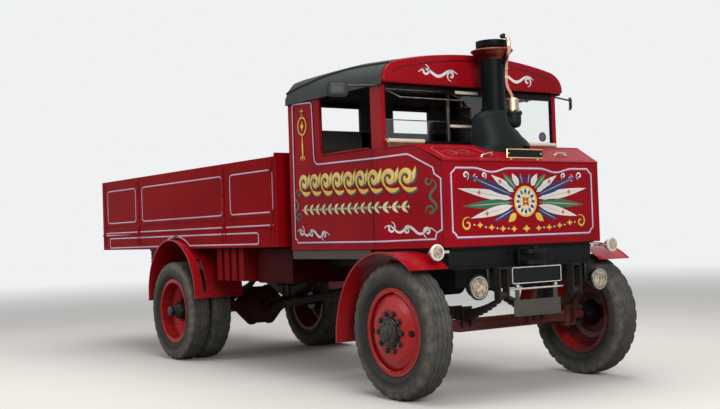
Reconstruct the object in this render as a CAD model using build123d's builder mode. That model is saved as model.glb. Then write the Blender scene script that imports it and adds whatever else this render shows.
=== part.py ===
from build123d import *
from math import cos, radians, sin, sqrt
import os

# Steam lorry with a transverse boiler ahead of the cab and a dropside load body.
# Millimetres. +X is forward, +Y is to the lorry's left, +Z is up. The origin is on the ground,
# under the middle of the lorry.

# Layout along the lorry, measured from the rear axle
wheelbase = 3887.0
rear_reach = 1999.0
front_reach = 4395.0
rear_axle_x = (rear_reach - front_reach) / 2
front_axle_x = rear_axle_x + wheelbase
body_back_x = rear_axle_x - 1980.0
body_front_x = rear_axle_x + 2110.0
cab_back_x = rear_axle_x + 2298.0
cab_front_x = rear_axle_x + 3535.0
bulkhead_x = rear_axle_x + 3640.0
deck_front_x = rear_axle_x + 3985.0
panel_x = rear_axle_x + 4243.0
chimney_x = rear_axle_x + 3920.0

# Chassis frame: two channels with their flanges turned in
frame_half = 420.0
frame_web = 9.0
frame_flange = 72.0
frame_bottom = 960.0
frame_top = 1120.0
frame_back_x = body_back_x + 70.0
beam_depth_x = 62.0
beam_half = 750.0
beam_back_x = panel_x - beam_depth_x

# Wheels and tyres
tyre_radius = 508.0
tyre_half_section = 110.0
tread_half = 84.0
rim_radius = 305.0
rim_flange_radius = 330.0
rim_half = 70.0
rim_plate = 9.0
front_wheel_y = 975.0
rear_outer_y = 945.0
rear_inner_y = 700.0
seat_gap = 0.3
running_gap = 0.05
spindle_radius = 45.0

# Front axle and steering
kingpin_y = 760.0
kingpin_radius = 20.0
kingpin_boss_radius = 40.0
kingpin_boss_half = 58.0
yoke_plate = 26.0
arm_length = 230.0
track_eye_radius = 28.0
track_eye_height = 30.0
track_pin_radius = 12.0
spring_y = 384.0
spring_width = 70.0

# Load body
body_half = 997.0
board_thick = 30.0
floor_top = 1323.0
floor_thick = 38.0
rail_bottom = 1154.0
side_bottom = 1329.0
side_top = 1961.0
hinge_out = 10.0
hinge_z = 1327.0
knuckle_radius = 9.0

# Cab
cab_half = 945.0
cab_wall = 22.0
cab_bottom = 1126.0
sill_top = 1908.0
cant_bottom = 2405.0
cant_top = 2448.0
window_back_x = rear_axle_x + 2796.0
screen_front_x = rear_axle_x + 3672.0

# Boiler housing
panel_half = 815.0
taper_start_x = rear_axle_x + 3600.0
housing_sheet = 6.0
panel_thick = 12.0
deck_z = 1905.0
panel_top = 1768.0
drum_radius = 285.0
drum_z = 1500.0
drum_x = rear_axle_x + 3935.0

# Roof
roof_half = 962.0
roof_skin = 10.0
roof_skirt = 2402.0
peak_front_x = rear_axle_x + 3748.0
peak_back_x = rear_axle_x + 3716.0
peak_board = 22.0

# Mudguards
guard_sheet = 5.0
guard_bead = 7.0
front_guard_out = 1143.0
front_guard_in = 800.0
front_guard_radius = 587.0
rear_guard_out = 1062.0
rear_guard_in = 528.0
rear_guard_radius = 560.0
rear_guard_x = rear_axle_x + 38.0
rear_guard_z = 688.0
rear_guard_foot = 655.0

os.makedirs("parts", exist_ok=True)


def save(piece, name):
    """Label a finished piece and write it as its own file."""
    piece.part.label = name
    export_step(piece.part, "parts/" + name + ".step")


def block(x_span, y_span, z_span, mode=Mode.ADD):
    """A box between named low and high limits."""
    size = (x_span[1] - x_span[0], y_span[1] - y_span[0], z_span[1] - z_span[0])
    centre = ((x_span[0] + x_span[1]) / 2, (y_span[0] + y_span[1]) / 2, (z_span[0] + z_span[1]) / 2)
    with Locations(centre):
        Box(*size, mode=mode)


def across(side, near, far):
    """The span between two distances from the centre plane, on the side -1 (right) or +1 (left)."""
    return (min(side * near, side * far), max(side * near, side * far))


def rod(start, end, radius, mode=Mode.ADD):
    """A round bar from one point to another."""
    start = Vector(*start)
    run = Vector(*end) - start
    with BuildSketch(Plane(origin=start, z_dir=run)) as section:
        Circle(radius)
    extrude(section.sketch, amount=run.length, mode=mode)


def turned(points, axle_x, axle_z, mode=Mode.ADD):
    """A ring turned about a wheel axis along Y. Points are (distance across the lorry, radius)."""
    with BuildSketch(Plane.YZ.offset(axle_x)) as section:
        with BuildLine():
            Polyline([(y, axle_z + r) for y, r in points], close=True)
        make_face()
    revolve(section.sketch, axis=Axis((axle_x, 0, axle_z), (0, 1, 0)), mode=mode)


# Chassis frame: channels, cross members and the rear cross member
cross_stations = [
    frame_back_x + 30.0,
    rear_axle_x - 760.0,
    rear_axle_x + 760.0,
    rear_axle_x + 2120.0,
    rear_axle_x + 3350.0,
]
cross_width = 60.0

with BuildPart() as chassis_frame:
    for side in (-1, 1):
        with BuildSketch(Plane.YZ.offset(frame_back_x)):
            with BuildLine():
                Polyline([
                    (side * frame_half, frame_bottom),
                    (side * (frame_half - frame_flange), frame_bottom),
                    (side * (frame_half - frame_flange), frame_bottom + frame_web),
                    (side * (frame_half - frame_web), frame_bottom + frame_web),
                    (side * (frame_half - frame_web), frame_top - frame_web),
                    (side * (frame_half - frame_flange), frame_top - frame_web),
                    (side * (frame_half - frame_flange), frame_top),
                    (side * frame_half, frame_top),
                ], close=True)
            make_face()
        extrude(amount=beam_back_x - frame_back_x)
    inner = frame_half - frame_web
    for station in cross_stations:
        block((station - cross_width / 2, station - cross_width / 2 + frame_web), (-inner, inner),
              (frame_bottom + frame_web, frame_top - frame_web))
        for z_low in (frame_bottom + frame_web, frame_top - 2 * frame_web):
            block((station - cross_width / 2, station + cross_width / 2), (-inner, inner),
                  (z_low, z_low + frame_web))
save(chassis_frame, "chassis_frame")

# Front beam: a channel open to the front, with the towing jaw at its middle
jaw_half = 98.0
jaw_low = 972.0
jaw_high = 1086.0
jaw_nose_x = panel_x + 122.0
jaw_slot_half = 26.0
jaw_slot_depth = 95.0
tow_pin_radius = 16.0
tow_pin_x = jaw_nose_x - 45.0
tow_pin_z = (jaw_low + jaw_high) / 2

with BuildPart() as front_beam:
    block((beam_back_x, beam_back_x + 12.0), (-beam_half, beam_half), (frame_bottom - 5.0, cab_bottom - 1.0))
    for z_low in (frame_bottom - 5.0, cab_bottom - 13.0):
        block((beam_back_x, panel_x - 8.0), (-beam_half, beam_half), (z_low, z_low + 12.0))
    block((beam_back_x + 12.0, jaw_nose_x), (-jaw_half, jaw_half), (jaw_low, jaw_high))
    block((jaw_nose_x - jaw_slot_depth, jaw_nose_x + 10.0), (-jaw_half - 5.0, jaw_half + 5.0),
          (tow_pin_z - jaw_slot_half, tow_pin_z + jaw_slot_half), mode=Mode.SUBTRACT)
    with Locations((tow_pin_x, 0, tow_pin_z)):
        Cylinder(tow_pin_radius, 400.0, mode=Mode.SUBTRACT)
    fillet(front_beam.edges().filter_by(Axis.Z).group_by(Axis.X)[-1], 40.0)
save(front_beam, "front_beam")

# Boiler: the transverse drum with its firebox hanging between the frame members
firebox_half = 300.0
firebox_low = 790.0
drum_half = 700.0

with BuildPart() as boiler:
    with Locations((drum_x, 0, drum_z)):
        Cylinder(drum_radius, 2 * drum_half, rotation=(90, 0, 0))
    block((drum_x - 210.0, drum_x + 190.0), (-firebox_half, firebox_half), (firebox_low, drum_z))
    for side in (-1, 1):
        block((drum_x - 120.0, drum_x + 120.0), across(side, frame_half - frame_flange, frame_half),
              (frame_top, drum_z - drum_radius + 30.0))
save(boiler, "boiler")

# Engine: an enclosed vertical engine hung between the frame members under the cab floor
engine_back_x = rear_axle_x + 2520.0
engine_front_x = rear_axle_x + 3200.0
engine_half = 255.0
engine_low = 700.0
shaft_front_z = 800.0

with BuildPart() as engine:
    block((engine_back_x, engine_front_x), (-engine_half, engine_half), (engine_low, frame_top - 6.0))
    fillet(engine.edges().filter_by(Axis.X).group_by(Axis.Z)[0], 90.0)
    for x_mid in (engine_back_x + 90.0, engine_front_x - 90.0):
        block((x_mid - 45.0, x_mid + 45.0), (-frame_half + frame_web, frame_half - frame_web),
              (frame_bottom + frame_web, frame_bottom + 60.0))
save(engine, "engine")

# Water tank: hung round the frame under the front of the body
tank_back_x = rear_axle_x + 1395.0
tank_front_x = rear_axle_x + 2040.0
tank_half = 790.0
tank_low = 812.0
tank_high = 1135.0

with BuildPart() as water_tank:
    block((tank_back_x, tank_front_x), (-tank_half, tank_half), (tank_low, frame_bottom))
    for side in (-1, 1):
        block((tank_back_x, tank_front_x), across(side, frame_half, tank_half), (tank_low, tank_high))
    fillet(water_tank.edges().filter_by(Axis.X).group_by(Axis.Z)[0], 35.0)
save(water_tank, "water_tank")

# Locker with vertical slats on the right of the frame, between the rear wheel and the tank
locker_back_x = rear_axle_x + 730.0
locker_front_x = rear_axle_x + 1330.0
locker_out = body_half - 137.0
locker_low = 832.0
locker_high = 1146.0
slat_count = 4
slat_out = 26.0

with BuildPart() as ribbed_locker:
    block((locker_back_x, locker_front_x), (-locker_out, -frame_half), (locker_low, locker_high))
    slat_pitch = (locker_front_x - locker_back_x) / slat_count
    for index in range(slat_count):
        slat_x = locker_back_x + slat_pitch * (index + 0.5)
        block((slat_x - slat_pitch * 0.32, slat_x + slat_pitch * 0.32),
              (-locker_out - slat_out, -locker_out), (locker_low, locker_high))
save(ribbed_locker, "ribbed_locker")

# Front axle: a dropped I beam with a boss for the king pin at each end
axle_top = 600.0
axle_drop = 45.0
axle_depth = 96.0
axle_half_x = 36.0

with BuildPart() as front_axle:
    ends = kingpin_y - kingpin_boss_radius + 8.0
    bend = 520.0
    drop_at = 440.0
    top_end = tyre_radius + axle_depth / 2
    low_end = tyre_radius - axle_depth / 2
    outline = [
        (-ends, low_end), (-bend, low_end + 10.0), (-drop_at, axle_top - axle_drop - axle_depth),
        (drop_at, axle_top - axle_drop - axle_depth), (bend, low_end + 10.0), (ends, low_end),
        (ends, top_end), (bend, top_end + 10.0), (drop_at, axle_top - axle_drop),
        (-drop_at, axle_top - axle_drop), (-bend, top_end + 10.0), (-ends, top_end),
    ]
    with BuildSketch(Plane.YZ.offset(front_axle_x)):
        with BuildLine():
            Polyline(outline, close=True)
        make_face()
    extrude(amount=axle_half_x, both=True)
    for low, high in ((-axle_half_x, -12.0), (12.0, axle_half_x)):
        block((front_axle_x + low, front_axle_x + high), (-drop_at + 150.0, drop_at - 150.0),
              (axle_top - axle_drop - axle_depth + 20.0, axle_top - axle_drop - 20.0), mode=Mode.SUBTRACT)
    for side in (-1, 1):
        with Locations((front_axle_x, side * kingpin_y, tyre_radius)):
            Cylinder(kingpin_boss_radius, 2 * kingpin_boss_half)
            Cylinder(kingpin_radius + running_gap, 2 * kingpin_boss_half + 10.0, mode=Mode.SUBTRACT)
save(front_axle, "front_axle")


def leaf_spring(axle_x, seat_z, chord, rise, leaves, leaf, width, eye_radius):
    """Both half-elliptic springs of an axle, with their clips and the hangers up to the frame."""
    bow = (chord * chord / 4 + rise * rise) / (2 * rise)
    pack_top = seat_z + leaves * leaf
    centre_z = pack_top + bow
    for side in (-1, 1):
        plane = Plane.XZ.offset(-side * spring_y - width / 2)
        for index in range(leaves):
            share = 1.0 - 0.78 * index / (leaves - 1)
            inner = bow + index * leaf
            half = sqrt(max(inner * inner - (inner - rise) ** 2, 1.0)) * share
            drop = sqrt(inner * inner - half * half)
            outer = inner + leaf
            ratio = outer / inner
            with BuildSketch(plane) as blade:
                with BuildLine():
                    ThreePointArc((axle_x - half, centre_z - drop), (axle_x, centre_z - inner),
                                  (axle_x + half, centre_z - drop))
                    Line((axle_x + half, centre_z - drop), (axle_x + half * ratio, centre_z - drop * ratio))
                    ThreePointArc((axle_x + half * ratio, centre_z - drop * ratio),
                                  (axle_x, centre_z - outer),
                                  (axle_x - half * ratio, centre_z - drop * ratio))
                    Line((axle_x - half * ratio, centre_z - drop * ratio),
                         (axle_x - half, centre_z - drop))
                make_face()
            extrude(blade.sketch, amount=width)
        eye_z = pack_top + rise + eye_radius * 0.6
        for end in (-1, 1):
            eye_x = axle_x + end * chord / 2
            with Locations((eye_x, side * spring_y, eye_z)):
                Cylinder(eye_radius, width, rotation=(90, 0, 0))
            for cheek in (-1, 1):
                cheek_y = side * spring_y + cheek * (width / 2 + 7.0)
                block((eye_x - 32.0, eye_x + 32.0), (cheek_y - 7.0, cheek_y + 7.0),
                      (eye_z - 30.0, frame_bottom))
            block((eye_x - 32.0, eye_x + 32.0),
                  (side * spring_y - width / 2 - 14.0, side * spring_y + width / 2 + 14.0),
                  (frame_bottom - 14.0, frame_bottom))
        for clip in (-1, 1):
            clip_x = axle_x + clip * 62.0
            block((clip_x - 9.0, clip_x + 9.0),
                  (side * spring_y - width / 2 - 9.0, side * spring_y + width / 2 + 9.0),
                  (seat_z, pack_top + 16.0))
        block((axle_x - 80.0, axle_x + 80.0),
              (side * spring_y - width / 2, side * spring_y + width / 2), (pack_top - 4.0, pack_top + 16.0))


with BuildPart() as front_springs:
    leaf_spring(front_axle_x, axle_top - axle_drop, 940.0, 105.0, 8, 10.0, spring_width, 24.0)
save(front_springs, "front_springs")

# Rear axle: round casing of the differential, tapering to the axle tubes and spindles
casing_radius = 200.0
casing_half = 118.0
tube_radius = 58.0
tube_out = 560.0
spindle_out = 1000.0
nose_length = 90.0
spring_pad_z = tyre_radius + tube_radius + 22.0

with BuildPart() as rear_axle:
    half_profile = [
        (0.0, casing_radius), (casing_half, casing_radius), (casing_half + 40.0, casing_radius - 22.0),
        (casing_half + 125.0, 100.0), (casing_half + 170.0, tube_radius), (tube_out, tube_radius),
        (tube_out, spindle_radius), (spindle_out, spindle_radius),
    ]
    left_half = half_profile + [(spindle_out, 0.0), (0.0, 0.0)]
    turned(left_half, rear_axle_x, tyre_radius)
    turned([(-y, r) for y, r in left_half], rear_axle_x, tyre_radius)
    for side in (-1, 1):
        low, high = across(side, casing_half - 20.0, casing_half)
        turned([(low, casing_radius - 50.0), (low, casing_radius + 14.0),
                (high, casing_radius + 14.0), (high, casing_radius - 50.0)], rear_axle_x, tyre_radius)
    for side in (-1, 1):
        block((rear_axle_x - 85.0, rear_axle_x + 85.0),
              (side * spring_y - spring_width / 2 - 6.0, side * spring_y + spring_width / 2 + 6.0),
              (tyre_radius, spring_pad_z))
    rod((rear_axle_x + casing_radius - 40.0, 0, tyre_radius),
        (rear_axle_x + casing_radius + nose_length, 0, tyre_radius), 85.0)
save(rear_axle, "rear_axle")

with BuildPart() as rear_springs:
    leaf_spring(rear_axle_x, spring_pad_z, 1180.0, 118.0, 9, 11.0, spring_width, 26.0)
save(rear_springs, "rear_springs")

# Propeller shaft from the engine to the differential's nose
shaft_radius = 40.0
coupling_length = 120.0

with BuildPart() as propeller_shaft:
    tail = (rear_axle_x + casing_radius + nose_length, 0, tyre_radius)
    tail_end = (tail[0] + coupling_length, 0, tyre_radius)
    head = (engine_back_x, 0, shaft_front_z)
    head_end = (engine_back_x - coupling_length, 0, shaft_front_z)
    rod(tail, tail_end, 58.0)
    rod(head, head_end, 58.0)
    rod(tail_end, head_end, shaft_radius)
    for joint_point in (tail_end, head_end):
        with Locations(joint_point):
            Sphere(62.0)
save(propeller_shaft, "propeller_shaft")


def steering_knuckle(side):
    """Yoke, king pin, stub axle and steering arm of one front wheel."""
    centre_z = tyre_radius
    yoke_in = kingpin_boss_half + 1.0
    yoke_out = yoke_in + yoke_plate
    post_y = kingpin_y + kingpin_boss_radius + 8.0
    for z_low, z_high in ((centre_z + yoke_in, centre_z + yoke_out), (centre_z - yoke_out, centre_z - yoke_in)):
        with Locations((front_axle_x, side * kingpin_y, (z_low + z_high) / 2)):
            Cylinder(kingpin_boss_radius, yoke_plate)
        block((front_axle_x - 38.0, front_axle_x + 38.0), across(side, kingpin_y, post_y + 22.0),
              (z_low, z_high))
    block((front_axle_x - 38.0, front_axle_x + 38.0), across(side, post_y, post_y + 22.0),
          (centre_z - yoke_out, centre_z + yoke_out))
    with Locations((front_axle_x, side * kingpin_y, centre_z)):
        Cylinder(kingpin_radius, 2 * yoke_out)
    rod((front_axle_x, side * post_y, centre_z), (front_axle_x, side * (front_wheel_y + 95.0), centre_z),
        spindle_radius)
    block((front_axle_x - arm_length, front_axle_x), (side * kingpin_y - 22.0, side * kingpin_y + 22.0),
          (centre_z - yoke_out, centre_z - yoke_in))
    with Locations((front_axle_x - arm_length, side * kingpin_y, centre_z - (yoke_in + yoke_out) / 2)):
        Cylinder(track_eye_radius, yoke_plate)
    with Locations((front_axle_x - arm_length, side * kingpin_y, centre_z - yoke_out)):
        Cylinder(track_pin_radius, yoke_plate + track_eye_height + 12.0, align=(Align.CENTER, Align.CENTER, Align.MIN))


for side_name, side in (("right", -1), ("left", 1)):
    with BuildPart() as knuckle:
        steering_knuckle(side)
    save(knuckle, "knuckle_" + side_name)

# Track rod behind the axle: it swings on the right-hand arm, and its left eye has room round the pin
track_z = tyre_radius - kingpin_boss_half - 1.0 + 0.5 + track_eye_height / 2
track_x = front_axle_x - arm_length

with BuildPart() as track_rod:
    rod((track_x, -kingpin_y, track_z), (track_x, kingpin_y, track_z), 13.0)
    for side, room in ((-1, running_gap), (1, 1.0)):
        with Locations((track_x, side * kingpin_y, track_z)):
            Cylinder(track_eye_radius, track_eye_height)
            Cylinder(track_pin_radius + room, 2 * track_eye_height, mode=Mode.SUBTRACT)
save(track_rod, "track_rod")


def tyre_ring(side, middle, axle_x):
    """One tyre as a closed ring, seated in its rim."""
    half_section = [
        (0.0, rim_radius + seat_gap), (rim_half, rim_radius + seat_gap), (rim_half, rim_flange_radius + 6.0),
        (tyre_half_section - 10.0, rim_flange_radius + 30.0), (tyre_half_section, 405.0),
        (tyre_half_section - 3.0, 448.0), (tread_half + 10.0, 488.0), (tread_half - 4.0, tyre_radius - 4.0),
        (tread_half * 0.55, tyre_radius), (0.0, tyre_radius),
    ]
    mirrored = [(-w, r) for w, r in reversed(half_section[1:-1])]
    turned([(side * middle + w, r) for w, r in half_section + mirrored], axle_x, tyre_radius)


def wheel_rim(side, middle, axle_x):
    """A straight-sided rim with a flange on each edge."""
    edge = rim_half + rim_plate + seat_gap
    turned([(side * middle + w, r) for w, r in [
        (-edge, rim_flange_radius), (-edge + rim_plate, rim_flange_radius), (-edge + rim_plate, rim_radius),
        (edge - rim_plate, rim_radius), (edge - rim_plate, rim_flange_radius), (edge, rim_flange_radius),
        (edge, rim_radius - rim_plate), (-edge, rim_radius - rim_plate),
    ]], axle_x, tyre_radius)


def ring_of(side, pitch_radius, count, radius, low, high, axle_x):
    """Studs or hand holes on a circle about a wheel axis."""
    for index in range(count):
        turn = radians(360.0 * (index + 0.5) / count)
        spot = (axle_x + pitch_radius * sin(turn), 0, tyre_radius + pitch_radius * cos(turn))
        yield ((spot[0], side * low, spot[2]), (spot[0], side * high, spot[2]), radius)


# Front wheels: a disc bulging out to the nut ring, with a hub that turns on the stub axle
front_nuts = 10
front_disc = [
    (48.0, rim_radius - rim_plate + 1.0), (58.0, 285.0), (74.0, 262.0), (96.0, 215.0), (104.0, 172.0),
    (104.0, 116.0), (122.0, 112.0), (126.0, 104.0), (126.0, 0.0),
]
front_disc_inner = [
    (-52.0, 0.0), (-52.0, 78.0), (40.0, 88.0), (86.0, 112.0), (92.0, 168.0), (84.0, 212.0), (62.0, 255.0),
    (46.0, 280.0), (38.0, rim_radius - rim_plate + 1.0),
]

for side_name, side in (("right", -1), ("left", 1)):
    with BuildPart() as front_tyre:
        tyre_ring(side, front_wheel_y, front_axle_x)
    save(front_tyre, "front_tyre_" + side_name)

    with BuildPart() as front_wheel:
        wheel_rim(side, front_wheel_y, front_axle_x)
        turned([(side * (front_wheel_y + w), r) for w, r in front_disc + front_disc_inner],
               front_axle_x, tyre_radius)
        for start, end, radius in ring_of(side, 142.0, front_nuts, 13.0, front_wheel_y + 100.0,
                                          front_wheel_y + 122.0, front_axle_x):
            rod(start, end, radius)
        for start, end, radius in ring_of(side, 232.0, 2, 27.0, front_wheel_y + 20.0,
                                          front_wheel_y + 130.0, front_axle_x):
            rod(start, end, radius, mode=Mode.SUBTRACT)
        rod((front_axle_x, side * (front_wheel_y - 60.0), tyre_radius),
            (front_axle_x, side * (front_wheel_y + 100.0), tyre_radius),
            spindle_radius + running_gap, mode=Mode.SUBTRACT)
    save(front_wheel, "front_wheel_" + side_name)

# Rear wheels: two dished discs bolted back to back on the hub, which ends in a tapered cap
rear_nuts = 10
rear_web_y = (rear_outer_y + rear_inner_y) / 2
rear_dish = 12.0

for side_name, side in (("right", -1), ("left", 1)):
    with BuildPart() as rear_tyres:
        tyre_ring(side, rear_outer_y, rear_axle_x)
        tyre_ring(side, rear_inner_y, rear_axle_x)
    save(rear_tyres, "rear_tyres_" + side_name)

    with BuildPart() as rear_wheels:
        for middle, lean in ((rear_outer_y, 1), (rear_inner_y, -1)):
            wheel_rim(side, middle, rear_axle_x)
            rim_foot = rim_radius - rim_plate + 1.0
            turned([(side * y, r) for y, r in [
                (rear_web_y, 80.0), (rear_web_y, 205.0), (rear_web_y + lean * 8.0, 232.0),
                (middle - lean * 62.0, rim_foot - 8.0), (middle - lean * 62.0, rim_foot),
                (middle - lean * 40.0, rim_foot), (middle - lean * 46.0, 274.0),
                (rear_web_y + lean * (8.0 + rear_dish), 226.0), (rear_web_y + lean * rear_dish, 200.0),
                (rear_web_y + lean * rear_dish, 80.0),
            ]], rear_axle_x, tyre_radius)
        turned([(side * y, r) for y, r in [
            (rear_web_y - 150.0, 0.0), (rear_web_y - 150.0, 96.0), (rear_web_y + 8.0, 118.0),
            (rear_web_y + 22.0, 148.0), (rear_web_y + 40.0, 148.0), (rear_web_y + 58.0, 120.0),
            (rear_web_y + 150.0, 84.0), (rear_web_y + 205.0, 50.0), (rear_web_y + 232.0, 46.0),
            (rear_web_y + 236.0, 38.0), (rear_web_y + 236.0, 0.0),
        ]], rear_axle_x, tyre_radius)
        for start, end, radius in ring_of(side, 176.0, rear_nuts, 14.0, rear_web_y + 10.0,
                                          rear_web_y + 44.0, rear_axle_x):
            rod(start, end, radius)
        rod((rear_axle_x, side * (rear_web_y - 160.0), tyre_radius),
            (rear_axle_x, side * (spindle_out + 5.0), tyre_radius),
            spindle_radius + running_gap, mode=Mode.SUBTRACT)
    save(rear_wheels, "rear_wheels_" + side_name)


# Front mudguards: a rolled sheet with a wired edge, from a front lip to a leg behind the wheel
front_guard_turn = 39.0
front_guard_leg_x = 628.0
front_guard_leg_low = 395.0

with BuildPart() as front_mudguards:
    guard_x = front_axle_x - 10.0
    guard_z = tyre_radius + 7.0
    front_point = (guard_x + front_guard_radius * sin(radians(front_guard_turn)),
                   guard_z + front_guard_radius * cos(radians(front_guard_turn)))
    back_turn = 62.0
    back_point = (guard_x - front_guard_radius * sin(radians(back_turn)),
                  guard_z + front_guard_radius * cos(radians(back_turn)))
    leg_point = (front_axle_x - front_guard_leg_x, front_guard_leg_low)
    for side in (-1, 1):
        for inner_y, outer_y, thick in ((front_guard_in, front_guard_out, guard_sheet),
                                        (front_guard_out, front_guard_out + guard_bead, 2 * guard_bead)):
            low, high = across(side, inner_y, outer_y)
            with BuildSketch(Plane.XZ.offset(-high)) as guard_line:
                with BuildLine():
                    ThreePointArc(front_point, (guard_x, guard_z + front_guard_radius), back_point)
                    TangentArc(back_point, leg_point, tangent=(-cos(radians(back_turn)), -sin(radians(back_turn))))
                trace(line_width=thick)
            extrude(guard_line.sketch, amount=high - low)
        for stay_run in (-300.0, 200.0):
            stay_z = guard_z + sqrt(front_guard_radius ** 2 - stay_run ** 2)
            block((guard_x + stay_run - 12.0, guard_x + stay_run + 12.0),
                  across(side, frame_half, front_guard_in + 40.0), (stay_z - 8.0, stay_z + 8.0))
save(front_mudguards, "front_mudguards")

# Rear mudguards: a tall arch over the twin tyres, closed down the front by the same sheet
with BuildPart() as rear_mudguards:
    for side in (-1, 1):
        for inner_y, outer_y, thick in ((rear_guard_in, rear_guard_out, guard_sheet),
                                        (rear_guard_out, rear_guard_out + guard_bead, 2 * guard_bead)):
            low, high = across(side, inner_y, outer_y)
            with BuildSketch(Plane.XZ.offset(-high)) as guard_line:
                with BuildLine():
                    Line((rear_guard_x + rear_guard_radius + 14.0, rear_guard_foot),
                         (rear_guard_x + rear_guard_radius, rear_guard_z))
                    ThreePointArc((rear_guard_x + rear_guard_radius, rear_guard_z),
                                  (rear_guard_x, rear_guard_z + rear_guard_radius),
                                  (rear_guard_x - rear_guard_radius, rear_guard_z))
                    Line((rear_guard_x - rear_guard_radius, rear_guard_z),
                         (rear_guard_x - rear_guard_radius, rear_guard_foot - 55.0))
                trace(line_width=thick)
            extrude(guard_line.sketch, amount=high - low)
        stay_z = frame_bottom + 60.0
        stay_run = sqrt(rear_guard_radius ** 2 - (stay_z - rear_guard_z) ** 2)
        for stay_x in (rear_guard_x - stay_run, rear_guard_x + stay_run):
            block((stay_x - 10.0, stay_x + 10.0), across(side, frame_half, rear_guard_in + 20.0),
                  (stay_z - 12.0, stay_z + 12.0))
        with Locations((rear_guard_x + rear_guard_radius, side * 958.0, 915.0)):
            Box(260.0, 40.0, 400.0, mode=Mode.SUBTRACT)
save(rear_mudguards, "rear_mudguards")

# Load body floor: planks on cross bearers and packers, with a deep side rail arched over the mudguard
bearer_stations = [body_back_x + 110.0, rear_axle_x - 1180.0, rear_axle_x - 620.0, rear_axle_x + 720.0,
                   rear_axle_x + 1340.0, body_front_x - 100.0]
rail_thick = 30.0
hinge_stations = [body_back_x + 60.0, rear_axle_x - 914.0, rear_axle_x + 1133.0, body_front_x - 60.0]
tail_hinge_y = 540.0
strap_width = 44.0
strap_thick = 6.0
ear_width = 16.0
ear_gap = 1.0
hinge_pin_radius = 4.0


def hinge_ears(station_point, along, face_out):
    """Two ears and the pin of a bottom hinge, on a plate down the outside of the rail."""
    for way in (-1, 1):
        offset = way * (strap_width / 2 + ear_gap + ear_width / 2)
        centre = Vector(*station_point) + along * offset
        with Locations(centre):
            if abs(along.X) > 0.5:
                Cylinder(knuckle_radius, ear_width, rotation=(0, 90, 0))
            else:
                Cylinder(knuckle_radius, ear_width, rotation=(90, 0, 0))
        plate_centre = centre - face_out * (hinge_out - 2.5) - Vector(0, 0, 62.0)
        with Locations(plate_centre):
            if abs(along.X) > 0.5:
                Box(ear_width, 5.0, 124.0)
            else:
                Box(5.0, ear_width, 124.0)
    pin_half = strap_width / 2 + ear_gap + ear_width
    rod(tuple(Vector(*station_point) - along * pin_half), tuple(Vector(*station_point) + along * pin_half),
        hinge_pin_radius)


with BuildPart() as bed:
    block((body_back_x, body_front_x), (-body_half + rail_thick, body_half - rail_thick),
          (floor_top - floor_thick, floor_top))
    for side in (-1, 1):
        block((body_back_x, body_front_x), across(side, body_half - rail_thick, body_half),
              (rail_bottom, floor_top))
        block((body_back_x + 40.0, body_front_x), across(side, frame_half - frame_flange, frame_half),
              (frame_top, rail_bottom + 2.0))
    for station in bearer_stations:
        block((station - 38.0, station + 38.0), (-body_half + rail_thick, body_half - rail_thick),
              (rail_bottom, floor_top - floor_thick))
    block((rear_axle_x - 38.0, rear_axle_x + 38.0), (-rear_guard_in + 20.0, rear_guard_in - 20.0),
          (rail_bottom, floor_top - floor_thick))
    block((body_back_x, body_back_x + rail_thick), (-body_half + rail_thick, body_half - rail_thick),
          (rail_bottom, floor_top - floor_thick))
    with Locations((rear_guard_x, 0, rear_guard_z)):
        Cylinder(rear_guard_radius + guard_bead + 6.0, 2 * body_half + 40.0, rotation=(90, 0, 0),
                 mode=Mode.SUBTRACT)
    for side in (-1, 1):
        for station in hinge_stations:
            hinge_ears((station, side * (body_half + hinge_out), hinge_z), Vector(1, 0, 0), Vector(0, side, 0))
        hinge_ears((body_back_x - hinge_out, side * tail_hinge_y, hinge_z), Vector(0, 1, 0), Vector(-1, 0, 0))
save(bed, "bed")

# Headboard: boards across the front of the body
headboard_top = side_top + 30.0

with BuildPart() as headboard:
    block((body_front_x, body_front_x + 34.0), (-body_half + 2.0, body_half - 2.0), (rail_bottom, headboard_top))
    for post_y in (-700.0, 0.0, 700.0):
        block((body_front_x + 34.0, body_front_x + 62.0), (post_y - 35.0, post_y + 35.0),
              (rail_bottom, headboard_top - 40.0))
save(headboard, "headboard")


def strap(station_point, along, face_out):
    """Hinge strap up the outside of a board, with its eye round the hinge pin."""
    centre = Vector(*station_point)
    height = side_top - 30.0 - side_bottom
    strap_centre = centre - face_out * (hinge_out - strap_thick / 2)
    strap_centre = Vector(strap_centre.X, strap_centre.Y, side_bottom + height / 2)
    if abs(along.X) > 0.5:
        with Locations(strap_centre):
            Box(strap_width, strap_thick, height)
        with Locations(centre):
            Cylinder(knuckle_radius, strap_width, rotation=(0, 90, 0))
    else:
        with Locations(strap_centre):
            Box(strap_thick, strap_width, height)
        with Locations(centre):
            Cylinder(knuckle_radius, strap_width, rotation=(90, 0, 0))
    rod(tuple(centre - along * strap_width), tuple(centre + along * strap_width),
        hinge_pin_radius + running_gap, mode=Mode.SUBTRACT)


# Dropsides: one long hinged side on each side, in three boarded panels between its straps
side_end_gap = 6.0

for side_name, side in (("right", -1), ("left", 1)):
    with BuildPart() as dropside:
        low, high = across(side, body_half - board_thick, body_half)
        block((body_back_x, body_front_x - side_end_gap), (low, high), (side_bottom, side_top))
        inner_low, inner_high = across(side, body_half - board_thick - 8.0, body_half - board_thick)
        for station in hinge_stations:
            block((station - 30.0, min(station + 30.0, body_front_x - side_end_gap)), (inner_low, inner_high),
                  (side_bottom + 10.0, side_top - 10.0))
        for station in hinge_stations:
            strap((station, side * (body_half + hinge_out), hinge_z), Vector(1, 0, 0), Vector(0, side, 0))
    save(dropside, "dropside_" + side_name)

# Tailboard between the ends of the dropsides
tail_half = body_half - board_thick - 8.0 - side_end_gap

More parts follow.
